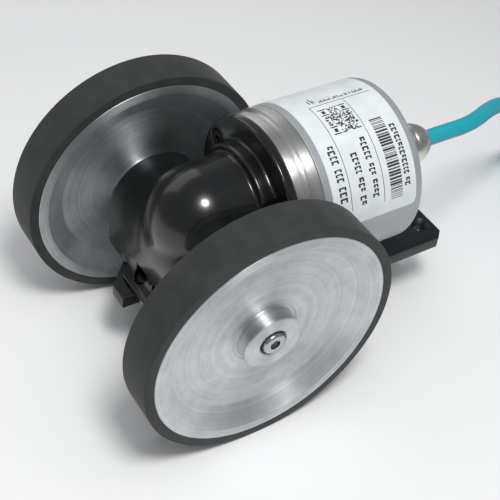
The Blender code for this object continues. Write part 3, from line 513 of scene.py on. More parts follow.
def merged_copy(node, name):
    """A welded copy of a CAD node's loose triangles."""
    source = frame["nodes"][node]
    copy = bpy.data.objects.new(name, source.data.copy())
    copy.data.name = name
    bpy.context.scene.collection.objects.link(copy)
    bm = bmesh.new()
    bm.from_mesh(copy.data)
    bmesh.ops.remove_doubles(bm, verts=bm.verts, dist=1e-7)
    bmesh.ops.dissolve_limit(bm, angle_limit=math.radians(1.0), verts=bm.verts, edges=bm.edges)
    bm.to_mesh(copy.data)
    bm.free()
    return copy


def applied(obj):
    """Bake the modifiers of an object into its mesh."""
    graph = bpy.context.evaluated_depsgraph_get()
    baked = bpy.data.meshes.new_from_object(obj.evaluated_get(graph))
    obj.modifiers.clear()
    obj.data = baked
    return obj


def settle(obj, body, slot_name, *nodes):
    """Ride a finished piece on its body and let it stand for its CAD nodes."""
    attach(obj, body)
    if nodes:
        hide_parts(*nodes)
    return obj


# ---------------------------------------------------------------- sizes and colours to change

class CableSizes(bpy.types.PropertyGroup):
    """The free cable and the coil that its spare length is wound into."""
    diameter: FloatProperty(name="Diameter", description="Outside of the jacket", default=0.005,
                            min=0.003, max=0.008, unit="LENGTH")
    coil_radius: FloatProperty(name="Coil radius", description="Middle of the coil's turns",
                               default=0.0274, min=0.02, max=0.05, unit="LENGTH")
    coil_pitch: FloatProperty(name="Turn spacing", description="From one turn to the next",
                              default=0.0051, min=0.004, max=0.01, unit="LENGTH")


class LabelSizes(bpy.types.PropertyGroup):
    """The label round the cap and what is printed on it."""
    low_edge: FloatProperty(name="Lower edge", description="Angle round the cap from its near side",
                            default=math.radians(6.3), subtype="ANGLE")
    high_edge: FloatProperty(name="Upper edge", description="Angle round the cap from its near side",
                             default=math.radians(172.0), subtype="ANGLE")
    corner: FloatProperty(name="Corner radius", description="Rounding of the label's corners",
                          default=0.0016, unit="LENGTH")


class StudioSettings(bpy.types.PropertyGroup):
    """The paper floor and the soft lights."""
    paper: StringProperty(name="Paper", description="Hex colour of the paper floor", default="#f6f6f6")
    key_power: FloatProperty(name="Key light", description="Watts that the lamps share out", default=0.75,
                             min=0.0, subtype="POWER")
    sky: FloatProperty(name="Sky", description="Strength of the even light from all round", default=0.32,
                       min=0.0)


# ---------------------------------------------------------------- stage

class ENCODER_OT_stage(bpy.types.Operator):
    """Camera, pale floor and soft studio light"""
    bl_idname = "encoder.stage"
    bl_label = "Studio"

    def execute(self, context):
        settings = context.scene.encoder_studio
        camera = bpy.data.objects.new("camera", bpy.data.cameras.new("camera"))
        context.scene.collection.objects.link(camera)
        right, up, back = CAMERA_AXES
        camera.matrix_world = Matrix(((right[0], up[0], back[0], CAMERA_PLACE[0] * MM),
                                      (right[1], up[1], back[1], CAMERA_PLACE[1] * MM),
                                      (right[2], up[2], back[2], CAMERA_PLACE[2] * MM), (0, 0, 0, 1)))
        camera.data.lens = 80.0
        camera.data.sensor_width = 36.0
        camera.data.clip_start, camera.data.clip_end = 0.01, 20.0
        context.scene.camera = camera
        context.scene.view_settings.view_transform = "Standard"

        # Floor: a level sheet under the tyres, height = GROUND everywhere
        across = np.linspace(-2600, 2600, 53)
        x, y = np.meshgrid(across, across, indexing="ij")
        floor = surface("floor", np.stack([x, y, np.full_like(x, GROUND)], axis=-1),
                        material=stage_paper(settings.paper), sharp=0)
        if floor.data.polygons[0].normal.z < 0:
            floor.data.flip_normals()

        world = bpy.data.worlds.new("studio")
        context.scene.world = world
        world.use_nodes = True
        world.node_tree.nodes["Background"].inputs["Color"].default_value = linear("#e3e6e9")
        world.node_tree.nodes["Background"].inputs["Strength"].default_value = settings.sky
        for name, place, aim, width, depth, share, shape, in_gloss in LAMPS:
            lamp = bpy.data.objects.new(name, bpy.data.lights.new(name, "AREA"))
            context.scene.collection.objects.link(lamp)
            lamp.data.shape = shape
            lamp.data.size, lamp.data.size_y = width * MM, depth * MM
            lamp.data.energy = settings.key_power * share
            lamp.visible_glossy = in_gloss
            lamp.location = Vector(place) * MM
            lamp.rotation_mode = "QUATERNION"
            lamp.rotation_quaternion = (Vector(aim) - Vector(place)).to_track_quat("-Z", "Y")
        return {"FINISHED"}


CAMERA_PLACE = (197.21, -130.45, 245.83)
CAMERA_AXES = ((0.52523, 0.84527, 0.09827), (-0.62764, 0.30681, 0.71549), (0.57463, -0.43748, 0.69168))
# name, place, what it points at, width, depth, share of the key's power, shape, seen in gloss
LAMPS = (
    ("overhead_wash", (140, -10, 400), (95, -10, 0), 380, 380, 0.72, "DISK", False),
    ("left_backdrop", (-480, -60, 330), (0, 0, 20), 560, 420, 0.75, "RECTANGLE", True),
    ("key_lamp", (203, -44, 508), (0, 0, 31), 140, 140, 2.1, "DISK", True),
)


# ---------------------------------------------------------------- cable

def cable_route():
    """Corners of the free part, millimetres: level out of the gland, sagging left to the ground."""
    lying = COIL_LOW[2] + TURN_MIDDLE
    enter_x = COIL_LOW[0] + TURN_MIDDLE
    start = GLAND_HIGH[1] - 3.8
    return [(12, start, 44), (12, 72, 44), (11.95, 79, 43.9), (11.6, 85.5, 43.5), (10.6, 90.5, 43),
            (9, 95.2, 42.4), (6.8, 100.2, 41.3), (4.2, 106.8, 39.4), (1.4, 114.4, 35.8),
            (-1.9, 122.6, 29.6), (-6, 131, 20.6), (-10.8, 139, 10), (-16.2, 146.6, -0.8),
            (-21, 153.6, -10.4), (-24, 160.4, -16.5), (enter_x, 167.5, lying), (enter_x, 175, lying),
            (enter_x, COIL_CENTRE[1] - 2.0, lying)]


def coil_route(radius, pitch, turns=7.667, per_turn=40):
    """Turns lying beside and on each other, clockwise from above: for each turn a column and a
    layer, and over its last part a smoothstep to the next turn's column and layer."""
    t = np.linspace(0, turns, int(turns * per_turn))
    turn = np.clip(np.floor(t).astype(int), 0, len(COIL_COLUMNS) - 2)
    step = np.clip((t - turn - 0.82) / 0.18, 0, 1)
    step = step * step * (3 - 2 * step)
    column, layer = np.array(COIL_COLUMNS, float), np.array(COIL_LAYERS, float)
    r = radius + pitch * (column[turn] + (column[turn + 1] - column[turn]) * step)
    lift = pitch * (layer[turn] + (layer[turn + 1] - layer[turn]) * step)
    last = np.clip((t - 7.2) / 0.42, 0, 1)
    lift = lift + last * last * (3 - 2 * last) * SLEEVE_RISE
    angle = np.pi - 2 * np.pi * t
    return np.stack([COIL_CENTRE[0] + r * np.cos(angle), COIL_CENTRE[1] + r * np.sin(angle),
                     COIL_LOW[2] + TURN_MIDDLE + lift], axis=1)


COIL_CENTRE = ((COIL_LOW + COIL_HIGH) / 2)[:2]
TURN_MIDDLE = 2.55              # from the coil's outside to the middle of its nearest turn
COIL_COLUMNS = (1, 0, -1, -1, 0, 1, 1, 0, 0)
COIL_LAYERS = (0, 0, 0, 1, 1, 1, 2, 2, 2)
SLEEVE_RISE = 5.75              # the last part of the cable climbs onto the coil
SLEEVE_LENGTH, CORE_LENGTH = 16.0, 24.0


class ENCODER_OT_cable(bpy.types.Operator):
    """The free cable, its coil, the tie round it, and the stripped end"""
    bl_idname = "encoder.cable"
    bl_label = "Cable"

    def execute(self, context):
        sizes = context.scene.encoder_cable
        radius = sizes.diameter / MM / 2
        loose = smooth_path(cable_route(), 8)
        coil_radius = sizes.coil_radius / MM
        coil = coil_route(coil_radius, sizes.coil_pitch / MM)
        path = np.vstack([loose[:-1], coil])
        steps = np.linalg.norm(np.diff(path, axis=0), axis=1)
        path = path[np.concatenate([[True], steps > 0.05])]
        cable = tube("free_cable", path, radius, finish("cable_teal"), 24)
        end = path[-1]

        tie = cable_tie("coil_tie", 12.0, coil_radius)
        angle = math.atan2(end[1] - COIL_CENTRE[1], end[0] - COIL_CENTRE[0])
        sleeve_path, core_paths = end_routes(coil_radius, angle, end[2])
        sleeve = tube("end_sleeve", sleeve_path, 2.85, finish("seal_rubber"), 24)
        cores = []
        for number, core in enumerate(core_paths):
            made = tube("end_core_%d" % (number + 1), core, 0.6, core_insulation(CORE_COLOURS[number]), 12)
            tip = core[-1] - core[-2]
            ferrule = tube("core_ferrule_%d" % (number + 1),
                           np.array([core[-1] - tip * 0.2, core[-1] + tip / np.linalg.norm(tip) * 1.4]),
                           np.array([0.62, 0.5]), finish("zinc_steel"), 12)
            cores += [settle(made, "body", "core_insulation", "core_%d" % (number + 1)),
                      settle(ferrule, "body", "zinc_steel")]
        settle(cable, "body", "cable_teal", "cable", "cable_coil")
        settle(sleeve, "body", "seal_rubber", "cable_sleeve")
        settle(tie, "body", "seal_rubber")
        return {"FINISHED"}


CORE_COLOURS = ("#8a5a33", "#e9e8e2", "#2f6fb8", "#2a2b2c", "#b9bcbe")


def end_routes(radius, angle, height):
    """Sleeve and cores continue round the coil, clockwise, from the cable's end: the sleeve lies
    on the coil, the cores fan sideways as share^1.5 and settle onto the turns under them."""
    t = np.linspace(0, 1, 24)
    along = angle + np.radians(4) - t * (SLEEVE_LENGTH / radius)
    sleeve = np.stack([COIL_CENTRE[0] + radius * np.cos(along), COIL_CENTRE[1] + radius * np.sin(along),
                       np.full_like(t, height)], axis=1)
    first = along[-1] + np.radians(3)
    cores = []
    for number in range(5):
        start = (number - 2) * 1.0
        r = radius + start + (start * 1.6) * t ** 1.5
        a = first - t * (CORE_LENGTH / radius)
        drop = 2.1 * np.clip(t * 1.6, 0, 1) ** 2
        cores.append(np.stack([COIL_CENTRE[0] + r * np.cos(a), COIL_CENTRE[1] + r * np.sin(a),
                               height - drop], axis=1))
    return sleeve, cores


def cable_tie(name, angle_degrees, coil_radius):
    """Thin band round the coil's section: a rounded square of half size h, corner r, as a loop
    in the plane through the coil's axis, with a flat strip 3.6 mm wide and 1 mm thick."""
    a = math.radians(angle_degrees)
    out = np.array([math.cos(a), math.sin(a), 0.0])
    beside = np.array([-math.sin(a), math.cos(a), 0.0])
    low, high = COIL_LOW[2], COIL_HIGH[2]
    half = (high - low) / 2
    centre = np.array([*COIL_CENTRE, low + half]) + out * coil_radius
    square = np.array([(-half, -half), (half, -half), (half, half), (-half, half)])
    inner = rounded(square, 2.4, 5)
    outer = rounded(square * (half + 0.5) / half, 2.8, 5)
    rows = np.stack([inner, inner, outer, outer], axis=1)
    offset = np.array([-1.8, 1.8, 1.8, -1.8])
    grid = (centre + rows[..., :1] * out + rows[..., 1:] * np.array([0, 0, 1.0])
            + offset[None, :, None] * beside)
    return surface(name, grid, close_rows=True, close_columns=True, material=finish("seal_rubber"), sharp=30)


# ---------------------------------------------------------------- casting

def either(a, b, blend):
    """Smooth union of two distance fields: the smaller, less a quadratic fillet where they are
    closer than blend."""
    near = np.clip(1 - np.abs(a - b) / blend, 0, 1)
    return np.minimum(a, b) - near * near * blend / 4


def both(a, b, blend):
    """Smooth intersection: the larger, with its outside corner rounded over blend."""
    return -either(-a, -b, blend)


def slab(y, front, rear):
    """Distance from the space between two level sections."""
    return np.abs(y - (front + rear) / 2) - (rear - front) / 2


def casting_field(p):
    """Distance from the casting's skin, below zero inside. An arch tube for the wheel shaft, a
    round elbow (upright pillar, sphere and level barrel), a collar, a flange and a foot are
    joined with fillets; the bores and screw pockets are cut from them."""
    x, y, z = p[:, 0], p[:, 1], p[:, 2]
    floor = HOUSING_LOW[2]
    axle, encoder = WHEEL_AXIS[2], ENCODER_AXIS[2]
    half_tube = HOUSING_HIGH[0]
    flange_radius = HOUSING_HIGH[2] - encoder
    across = np.hypot(x, z - encoder)

    arch = np.where(z > axle, np.hypot(y, z - axle), np.abs(y)) - ARCH_RADIUS
    arch = both(arch, floor - z, 0.8)
    arch = both(arch, np.abs(x) - half_tube, 1.2)

    ball = np.sqrt(across ** 2 + np.minimum(y, 0) ** 2) - BARREL_RADIUS
    barrel = both(ball, y - COLLAR_FRONT - 1, 0.5)
    pillar = both(np.maximum(np.hypot(x, y) - PILLAR_RADIUS, z - encoder), floor - z, 0.8)
    body = either(either(barrel, pillar, 1.2), arch, 1.2)

    foot_top = floor + FOOT_THICKNESS
    foot = both(both(np.abs(x) - FOOT_HALF_WIDTH, HOUSING_LOW[1] - y, 0.4), z - foot_top, 0.4)
    foot = np.maximum(foot, y + 8)
    body = either(body, foot, 5.5)

    collar = both(across - COLLAR_RADIUS, slab(y, COLLAR_FRONT, COLLAR_REAR), 0.7)
    flange = both(across - flange_radius, slab(y, FLANGE_FRONT, FLANGE_REAR), 0.6)
    body = either(body, collar, 0.9)
    body = either(body, flange, 0.7)
    body = np.maximum(body, floor - z)

    # Bores and pockets
    shaft = np.hypot(y, z - axle)
    bearing = shaft - np.where(np.abs(x) > BEARING_X, BEARING_BORE, CHAMBER_BORE)
    grooves = np.maximum(shaft - RING_GROOVE[0], np.abs(np.abs(x) - RING_GROOVE[1]) - RING_GROOVE[2])
    chamber = np.maximum(across - CHAMBER_BORE, -CHAMBER_BORE - y)
    pilot = np.maximum(across - PILOT_BORE, PILOT_FRONT - y)
    for hole in (bearing, grooves, chamber, pilot):
        body = both(body, -hole, 0.3)
    for side in (-1, 1):
        near = np.hypot(x - side * FOOT_SCREW[0], y - FOOT_SCREW[1])
        pocket = np.maximum(near - 3.35, np.maximum(foot_top - z, z - floor - 6.5))
        body = both(body, -np.minimum(pocket, np.maximum(near - 1.9, z - floor - 2.0)), 0.5)
    for angle in FLANGE_SCREW_ANGLES:
        a = math.radians(angle)
        near = np.hypot(x - FLANGE_SCREW_CIRCLE * math.cos(a),
                        z - encoder - FLANGE_SCREW_CIRCLE * math.sin(a))
        mouth = np.maximum(near - 3.22, np.abs(y - 12.4) - 3.3)
        cone = np.maximum(near - np.clip(3.22 - (y - 15.7) * 0.765, 1.92, 3.22), np.abs(y - 17.1) - 1.6)
        body = both(body, -np.minimum(mouth, cone), 0.25)
    return body


ARCH_RADIUS, BARREL_RADIUS, PILLAR_RADIUS = 15.5, 15.6, 14.8
COLLAR_FRONT, COLLAR_REAR, COLLAR_RADIUS = 11.2, 17.0, 18.0
FLANGE_FRONT, FLANGE_REAR = 15.7, 18.4
FLANGE_SCREW_ANGLES, FLANGE_SCREW_CIRCLE = (32, 152, 272), 20.3
FOOT_HALF_WIDTH, FOOT_THICKNESS, FOOT_SCREW = 10.2, 1.5, (4.8, -13.8)
BEARING_X, BEARING_BORE, CHAMBER_BORE = 18.2, 11.3, 9.4
RING_GROOVE = (12.1, 26.3, 0.65)        # radius, place along the shaft, half width
PILOT_FRONT, PILOT_BORE = 13.4, 12.3


def onto_skin(p, field, steps=7, reach=0.6):
    """Newton's walk onto a field's zero: each point moves along the field's slope by its value."""
    for _ in range(steps):
        value = field(p)
        slope = np.stack([(field(p + d) - field(p - d)) / 0.02 for d in 0.01 * np.eye(3)], axis=1)
        size = np.maximum(np.linalg.norm(slope, axis=1), 0.35)
        p = p - slope / size[:, None] * np.clip(value / size, -reach, reach)[:, None]
    return p


def skin_of(field, low, high, step):
    """Points and quads of a field's zero: one point in each cell of a grid that the skin passes
    through, and one quad round each grid edge whose ends lie on opposite sides of it. The points
    walk onto the skin, are evened out once by the mean of their neighbours, and walk again."""
    axes = [np.arange(a - 1.5 * step, b + 2.5 * step, step) for a, b in zip(low, high)]
    grid = np.stack(np.meshgrid(*axes, indexing="ij"), axis=-1)
    inside = field(grid.reshape(-1, 3)).reshape(grid.shape[:3]) < 0
    count = np.zeros(np.array(inside.shape) - 1, int)
    for i, j, k in np.ndindex(2, 2, 2):
        count += inside[i:i + count.shape[0], j:j + count.shape[1], k:k + count.shape[2]]
    crossed = (count > 0) & (count < 8)
    number = np.full(count.shape, -1)
    number[crossed] = np.arange(crossed.sum())
    points = grid[:-1, :-1, :-1][crossed] + step / 2
    quads = []
    for axis in range(3):
        first, second = (axis + 1) % 3, (axis + 2) % 3
        one = np.moveaxis(inside, axis, 0)
        change = np.moveaxis(one[1:].astype(int) - one[:-1].astype(int), 0, axis)
        for sign in (1, -1):
            at = np.argwhere(change == sign)
            around = []
            for back_first, back_second in ((0, 0), (1, 0), (1, 1), (0, 1)):
                cell = at.copy()
                cell[:, first] -= back_first
                cell[:, second] -= back_second
                around.append(number[tuple(cell.T)])
            quads.append(np.stack(around[::-sign], axis=1))
    quads = np.concatenate(quads)
    points = onto_skin(points, field)
    total, seen = np.zeros_like(points), np.zeros(len(points))
    for a, b in ((0, 1), (1, 2), (2, 3), (3, 0)):
        np.add.at(total, quads[:, a], points[quads[:, b]])
        np.add.at(total, quads[:, b], points[quads[:, a]])
        np.add.at(seen, quads[:, a], 1)
        np.add.at(seen, quads[:, b], 1)
    even = 0.5 * points + 0.5 * total / seen[:, None]
    return onto_skin(even, field, 4), quads


class ENCODER_OT_casting(bpy.types.Operator):
    """The black gear housing, its fillets, bores and screw pockets"""
    bl_idname = "encoder.casting"
    bl_label = "Gear housing"

    def execute(self, context):
        points, quads = skin_of(casting_field, HOUSING_LOW, HOUSING_HIGH, 0.45)
        housing = new_mesh("housing_casting", points, quads, None, finish("cast_black"), 42, weld=False)
        settle(housing, "body", "cast_black", "gear_housing")
        return {"FINISHED"}


# ---------------------------------------------------------------- wheels

class ENCODER_OT_wheels(bpy.types.Operator):
    """Turned wheels with their rubber tyres and the screws that hold them"""
    bl_idname = "encoder.wheels"
    bl_label = "Wheels"

    def execute(self, context):
        metal = turned_metal("turned_wheel_aluminium", WHEEL_AXIS, "X", ("#b4b7b9", "#cfd2d4", "#e4e6e7"),
                             (0.42, 0.58))
        for sign, side in ((1, "near"), (-1, "far")):
            low, high = millimetres("wheel_hub_" + side)
            inner, face = (low[0], high[0]) if sign > 0 else (-high[0], -low[0])
            hub = lathe("turned_hub_" + side, hub_outline(inner, face), WHEEL_AXIS, "X", metal, sign, 256)
            settle(hub, "wheels", "aluminium", "wheel_hub_" + side)
            tyre = lathe("ground_tyre_" + side, tyre_outline(inner), WHEEL_AXIS, "X", finish("rubber"), sign,
                         256, 50)
            settle(tyre, "wheels", "rubber", "wheel_tyre_" + side)
            seat = WHEEL_AXIS + np.array([sign * (face - 3.1), 0, 0])
            screw = cap_screw("centre_screw_" + side, seat, "X", sign, *M4_CAP, 11.0, 1.0,
                              finish("zinc_steel"))
            settle(screw, "wheels", "zinc_steel", "wheel_screw_" + side)
        return {"FINISHED"}


def hub_outline(inner, face):
    """Section of a wheel body, along and radius, from the back round to the front: a rim, a dished
    web on both faces, a boss level with the rim, and every edge broken by the tool."""
    web, back_web, floor = face - 4.4, inner + 3.4, face - 3.4
    return rounded_section([
        (inner, HUB_RADIUS, 0.25), (face, HUB_RADIUS, 0.2), (face, 33.8, 0.3),
        (web, 27.9, 0.5), (web, 10.3, 0.12), (web - 0.35, 10.1, 0.1), (web - 0.35, 9.35, 0.1),
        (web, 9.2, 0.1), (face - 0.4, 9.2, 0.12), (face, 8.8, 0.12),
        (face, 4.55, 0.12), (face - 0.3, 4.25, 0.1), (floor, 4.25, 0.1), (floor, 2.3, 0.1),
        (floor - 1.7, 2.3, 0.05), (floor - 1.7, 4.3, 0.05), (inner, 4.3, 0.2), (inner, 9.2, 0.2),
        (back_web, 9.2, 0.1), (back_web, 27.9, 0.5), (inner, 33.8, 0.3),
    ])


def tyre_outline(inner):
    """Rubber band ground square, its corners only just broken, with a relief beside its seat."""
    outer = inner + 12.6
    seat = HUB_RADIUS + 0.02
    return rounded_section([(inner + 0.1, seat, 0.1), (inner, seat + 0.3, 0.1), (inner, TYRE_RADIUS, 0.3),
                            (outer, TYRE_RADIUS, 0.3), (outer, seat + 0.3, 0.1), (outer - 0.1, seat, 0.1)], 5)


# ---------------------------------------------------------------- encoder

class ENCODER_OT_encoder(bpy.types.Operator):
    """The encoder's turned flange, its painted cap and the screws in the casting's flange"""
    bl_idname = "encoder.encoder"
    bl_label = "Encoder body"

    def execute(self, context):
        metal = turned_metal("turned_flange_aluminium", ENCODER_AXIS, "Y", ("#c9c9c6", "#e0e0dd", "#f2f2f0"),
                             (0.34, 0.48))
        centre = (ENCODER_AXIS[0], 0.0, ENCODER_AXIS[2])
        section = rounded_section([
            (13.4, 6.8, 0.1), (13.4, 12.0, 0.3), (18.5, 12.0, 0.1), (18.5, 24.9, 0.25),
            (21.6, 24.9, 0.35), (21.95, 24.2, 0.25), (23.2, 24.2, 0.25), (23.5, 25.4, 0.3),
            (26.7, 25.4, 0.25), (26.75, 22.2, 0.1), (28.3, 22.2, 0.1), (28.3, 23.2, 0.1),
            (30.2, 23.2, 0.3), (30.2, 10.5, 0.4), (39.5, 10.5, 0.3), (39.5, 6.8, 0.1),
            (33.7, 6.8, 0.1), (33.7, 5.4, 0.1), (20.5, 5.4, 0.1), (20.5, 6.8, 0.1)])
        flange = lathe("turned_encoder_flange", section, centre, "Y", metal, 1, 256)
        settle(flange, "body", "aluminium", "encoder_flange")

        rear = CAP_HIGH[1]
        section = rounded_section([
            (26.82, 23.5, 0.1), (26.82, CAP_RADIUS, 0.3), (rear, CAP_RADIUS, 1.4), (rear, 0.0, 0.0),
            (rear - 2, 0.0, 0.0), (rear - 2, 23.5, 0.8)], 6)
        shell = lathe("painted_cap", section, centre, "Y", finish("silver_paint"), 1, 256)
        drill = lathe("cap_drill", [(rear - 4, 0.0), (rear - 4, 5.2), (rear + 2, 5.2), (rear + 2, 0.0)],
                      (GLAND_AXIS[0], 0.0, GLAND_AXIS[2]), "Y", None, 1, 64)
        hole = shell.modifiers.new("gland_hole", "BOOLEAN")
        hole.object, hole.operation, hole.solver = drill, "DIFFERENCE", "EXACT"
        applied(shell)
        bpy.data.objects.remove(drill)
        settle(shell, "body", "silver_paint", "encoder_cap")

        for number, angle in enumerate(FLANGE_SCREW_ANGLES, 1):
            a = math.radians(angle)
            face = np.array([FLANGE_SCREW_CIRCLE * math.cos(a), FLANGE_FRONT,
                             ENCODER_AXIS[2] + FLANGE_SCREW_CIRCLE * math.sin(a)])
            screw = sunk_screw("flange_sunk_screw_%d" % number, face, "Y", -1, *M3_SUNK, 5.5,
                               finish("black_steel"))
            settle(screw, "body", "black_steel", "flange_screw_%d" % number)
        for sign, side in ((1, "near"), (-1, "far")):
            seat = np.array([sign * FOOT_SCREW[0], FOOT_SCREW[1], HOUSING_LOW[2] + 1.8])
            screw = cap_screw("foot_cap_screw_" + side, seat, "Z", 1, *M3_LOW_CAP, 5.0, 0.9,
                              finish("black_steel"))
            settle(screw, "body", "black_steel", "base_screw_" + side)
        return {"FINISHED"}


# ---------------------------------------------------------------- label

def wrapped_sheets(name, boxes, radius, thickness, material, arc_step=1.2, corner=0.0):
    """Thin closed sheets wrapped on a cylinder about the encoder's axis. A box is (y from, y to,
    angle from, angle to): point = (r cos a, y, r sin a), with r at the skin and at the skin plus
    the thickness; corners are cut back as a quarter circle when corner is given."""
    all_points, all_faces, all_uv, base = [], [], [], 0
    for y0, y1, a0, a1 in boxes:
        rows = 2 if corner == 0 else 60
        columns = max(2, int(abs(a1 - a0) * radius / arc_step) + 1)
        v = np.linspace(0, 1, rows)
        y = y0 + (y1 - y0) * v
        to_edge = np.minimum(y - y0, y1 - y)
        round_off = corner - np.sqrt(np.maximum(corner ** 2 - (corner - to_edge) ** 2, 0))
        cut = np.where(to_edge < corner, round_off, 0) / radius
        u = np.linspace(0, 1, columns)
        angle = (a0 + cut)[:, None] + (a1 - a0 - 2 * cut)[:, None] * u[None]
        loop = np.concatenate([angle, angle[:, ::-1]], axis=1)
        level = np.concatenate([np.full(columns, radius + thickness), np.full(columns, radius)])
        high = np.broadcast_to(level, loop.shape)
        low = np.full_like(high, radius)
        loop = np.concatenate([loop[:1], loop, loop[-1:]])
        high = np.concatenate([low[:1], high, low[-1:]])
        yy = np.concatenate([y[:1], y, y[-1:]])[:, None]
        grid = np.stack([high * np.cos(loop), np.broadcast_to(yy, loop.shape), high * np.sin(loop)], axis=-1)
        faces, r, c = grid_faces(rows + 2, 2 * columns, close_columns=True)
        all_points.append(grid.reshape(-1, 3))
        all_faces.append(faces + base)
        all_uv.append(np.stack([c / (2 * columns), r / (rows + 2)], axis=-1).reshape(-1, 2))
        base += grid.shape[0] * grid.shape[1]
    points = np.concatenate(all_points) + np.array([ENCODER_AXIS[0], 0, ENCODER_AXIS[2]])
    return new_mesh(name, points, np.concatenate(all_faces), np.concatenate(all_uv), material, 30)


def greeked_row(y, height, a0, a1, seed, radius, word=(3, 6)):
    """A line of plain blocks in word-like groups that stands for small print, along the curve."""
    random = np.random.default_rng(seed)
    boxes, at = [], a1
    width, gap = 0.56 * height / radius, 0.17 * height / radius
    while at - width > a0:
        for _ in range(int(random.integers(*word))):
            if at - width < a0:
                break
            wide = width * random.uniform(0.55, 1.05)
            tall = height * random.choice([0.74, 1.0, 1.0])
            low, high = y + height / 2 - tall, y + height / 2
            stroke = min(0.3 * height, 0.62)
            boxes += [(low, low + stroke, at - wide, at), (high - stroke, high, at - wide, at),
                      (low, high, at - 0.42 * wide, at)]
            at -= wide + gap
        at -= 2.6 * gap
    return boxes


def code_block(y0, y1, a0, a1, cells, seed):
    """A square of random dots with a ringed square in three corners, that encodes nothing."""
    random = np.random.default_rng(seed)
    dark = random.random((cells, cells)) < 0.5
    ring = np.maximum(*np.abs(np.mgrid[-4:5, -4:5]))
    eye = (ring == 3) | (ring <= 1)
    for i, j in ((0, 0), (0, cells - 8), (cells - 8, cells - 8)):
        part = eye[(1 if i == 0 else 0):(9 if i == 0 else 8), (1 if j == 0 else 0):(9 if j == 0 else 8)]
        dark[i:i + 8, j:j + 8] = part
    boxes = []
    for i in range(cells):
        edges = np.diff(np.concatenate([[0], dark[i], [0]]))
        low, high = y0 + (y1 - y0) * i / cells, y0 + (y1 - y0) * (i + 1) / cells
        boxes += [(low, high, a0 + (a1 - a0) * start / cells, a0 + (a1 - a0) * end / cells)
                  for start, end in zip(np.flatnonzero(edges == 1), np.flatnonzero(edges == -1))]
    return boxes


def small_print(y0, y1, angle, height, seed):
    """A line of tiny plain marks along the label's long top rule."""
    random = np.random.default_rng(seed)
    boxes, at = [], y0
    while at < y1:
        wide = random.uniform(0.25, 0.6)
        tall = height * random.choice([0.55, 1.0])
        boxes.append((at, at + wide, angle, angle + tall))
        at += wide + random.choice([0.22, 0.22, 0.7])
    return boxes


def bar_strip(y0, y1, a0, a1, seed, radius):
    """Regular-looking upright bars of three widths, across the label, that encode nothing."""
    random = np.random.default_rng(seed)
    boxes, at, unit = [], a0, 0.21 / radius
    while at < a1:
        wide = unit * random.choice([1, 1, 2, 3])
        boxes.append((y0, y1, at, min(at + wide, a1)))
        at += wide + unit * random.choice([1, 1, 2, 2])
    return boxes


class ENCODER_OT_label(bpy.types.Operator):
    """The white label wrapped on the cap, with rules, plain blocks for its print and stripes"""
    bl_idname = "encoder.label"
    bl_label = "Label"

    def execute(self, context):
        sizes = context.scene.encoder_label
        skin = CAP_RADIUS + 0.01
        body = [(29.2, 58.6, sizes.low_edge, sizes.high_edge)]
        label = wrapped_sheets("label_film", body, skin, 0.06, label_film(), 0.5, sizes.corner / MM)
        settle(label, "body", "silver_paint")
        d = math.radians
        r = skin + 0.06
        rules = [(35.3, 35.5, d(17), d(95)), (46.9, 47.1, d(15.6), d(94)), (35.3, 56.8, d(94.5), d(94.95))]
        boxes = rules + greeked_row(32.9, 2.5, d(21), d(62), 3, r, (3, 5))
        boxes += greeked_row(39.5, 2.2, d(16.5), d(53.5), 5, r)
        boxes += greeked_row(44.0, 2.2, d(15.5), d(61.7), 8, r)
        boxes += greeked_row(55.5, 1.9, d(20.5), d(64), 13, r, (9, 14))
        boxes += bar_strip(49.3, 53.6, d(15.5), d(72), 21, r)
        boxes += code_block(36.7, 46.2, d(68), d(90), 25, 34)
        boxes += small_print(39.8, 55.6, d(97.2), d(2.6), 17) + small_print(36.6, 39.2, d(98.5), d(7.0), 19)
        ink = wrapped_sheets("label_print", boxes, r + 0.002, 0.012, printed_ink(), 1.4)
        settle(ink, "body", "silver_paint")
        return {"FINISHED"}


# ---------------------------------------------------------------- gland and plate

class ENCODER_OT_gland(bpy.types.Operator):
    """The nickel-plated cable gland: collar and domed nut"""
    bl_idname = "encoder.gland"
    bl_label = "Cable gland"

    def execute(self, context):
        centre = (GLAND_AXIS[0], 0.0, GLAND_AXIS[2])
        rear = CAP_HIGH[1]
        metal = turned_metal("turned_nickel_plate", centre, "Y", ("#c9c7bf", "#dad8d1", "#e8e7e1"),
                             (0.26, 0.36), 0.5)
        section = rounded_section([
            (rear - 3.2, 4.0, 0.1), (rear - 3.2, 4.9, 0.2), (rear + 0.02, 4.9, 0.05),
            (rear + 0.02, 6.3, 0.15), (rear + 1.9, 6.3, 0.15), (rear + 1.9, 4.0, 0.05)], 3)
        collar = lathe("gland_collar", section, centre, "Y", metal, 1, 128)
        settle(collar, "body", "nickel", "gland_body")

        start, mouth = GLAND_LOW[1] - 0.1, GLAND_HIGH[1]
        bulge = math.acos(3.4 / 6.3)
        a = np.linspace(0.0, bulge, 22)
        depth = (mouth - start) / math.sin(bulge)
        dome = np.stack([start + depth * np.sin(a), 6.3 * np.cos(a)], axis=1)
        outline = np.vstack([[(start, 4.0)], [(start, 6.1)], dome[1:-1],
                             rounded([(mouth - 0.25, 3.75), (mouth, 3.4), (mouth, 2.72), (mouth - 0.5, 2.58)],
                                     0.12, 3)[4:],
                             [(mouth - 4.1, 2.58), (mouth - 4.1, 4.0)]])
        nut = lathe("gland_dome", outline, centre, "Y", metal, 1, 128)
        settle(nut, "body", "nickel", "gland_nut")
        return {"FINISHED"}


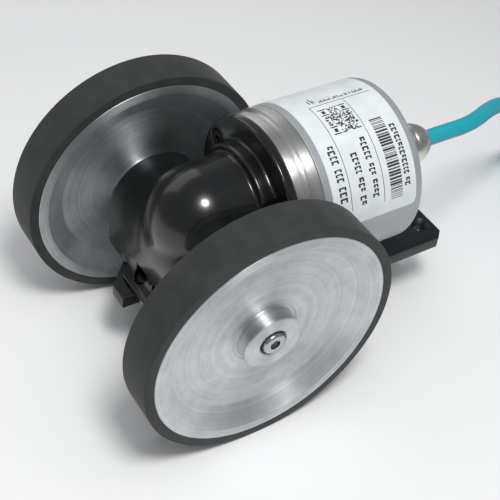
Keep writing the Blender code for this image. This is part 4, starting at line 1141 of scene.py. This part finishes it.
class ENCODER_OT_plate(bpy.types.Operator):
    """The black base plate, its edges softened under the powder coat"""
    bl_idname = "encoder.plate"
    bl_label = "Base plate"

    def execute(self, context):
        plate = merged_copy("base_plate", "coated_plate")
        soften = plate.modifiers.new("broken_edges", "BEVEL")
        soften.width = 0.35 * MM
        soften.segments = 3
        soften.limit_method = "ANGLE"
        soften.angle_limit = math.radians(40)
        applied(plate)
        plate.data.materials.clear()
        plate.data.materials.append(finish("plate_black"))
        plate.data.shade_smooth()
        plate.data.set_sharp_from_angle(angle=math.radians(35))
        settle(plate, "body", "plate_black", "base_plate")
        return {"FINISHED"}


class ENCODER_OT_inner_parts(bpy.types.Operator):
    """Finishes for the CAD pieces inside: bearings, gears, shafts, disc and board"""
    bl_idname = "encoder.inner_parts"
    bl_label = "Inner parts"

    def execute(self, context):
        for obj in frame["nodes"].values():
            if obj.hide_render:
                continue
            slot_name = obj.data.materials[0].name.split(".")[0]
            obj.data.materials.clear()
            obj.data.materials.append(finish(slot_name))
        return {"FINISHED"}


# ---------------------------------------------------------------- panel and run

class ENCODER_PT_panel(bpy.types.Panel):
    """Every step, with the sizes that it reads"""
    bl_idname = "ENCODER_PT_panel"
    bl_label = "Encoder"
    bl_space_type = "VIEW_3D"
    bl_region_type = "UI"
    bl_category = "Encoder"

    def draw(self, context):
        for group in GROUPS:
            box = self.layout.box()
            for name in getattr(context.scene, group).bl_rna.properties.keys():
                if name not in ("rna_type", "name"):
                    box.prop(getattr(context.scene, group), name)
        for step in STEPS:
            self.layout.operator(step.bl_idname)


STEPS = (ENCODER_OT_stage, ENCODER_OT_cable, ENCODER_OT_casting, ENCODER_OT_wheels, ENCODER_OT_encoder,
         ENCODER_OT_label, ENCODER_OT_gland, ENCODER_OT_plate, ENCODER_OT_inner_parts)
GROUPS = {"encoder_studio": StudioSettings, "encoder_cable": CableSizes, "encoder_label": LabelSizes}


def register():
    for kind in (*GROUPS.values(), *STEPS, ENCODER_PT_panel):
        bpy.utils.register_class(kind)
    for name, kind in GROUPS.items():
        setattr(bpy.types.Scene, name, bpy.props.PointerProperty(type=kind))


def unregister():
    for name in GROUPS:
        delattr(bpy.types.Scene, name)
    for kind in (ENCODER_PT_panel, *reversed(STEPS), *GROUPS.values()):
        bpy.utils.unregister_class(kind)


def main():
    register()
    for step in STEPS:
        area, name = step.bl_idname.split(".")
        if getattr(getattr(bpy.ops, area), name)() != {"FINISHED"}:
            raise RuntimeError(step.bl_label + " did not finish")


if __name__ == "__main__":
    main()
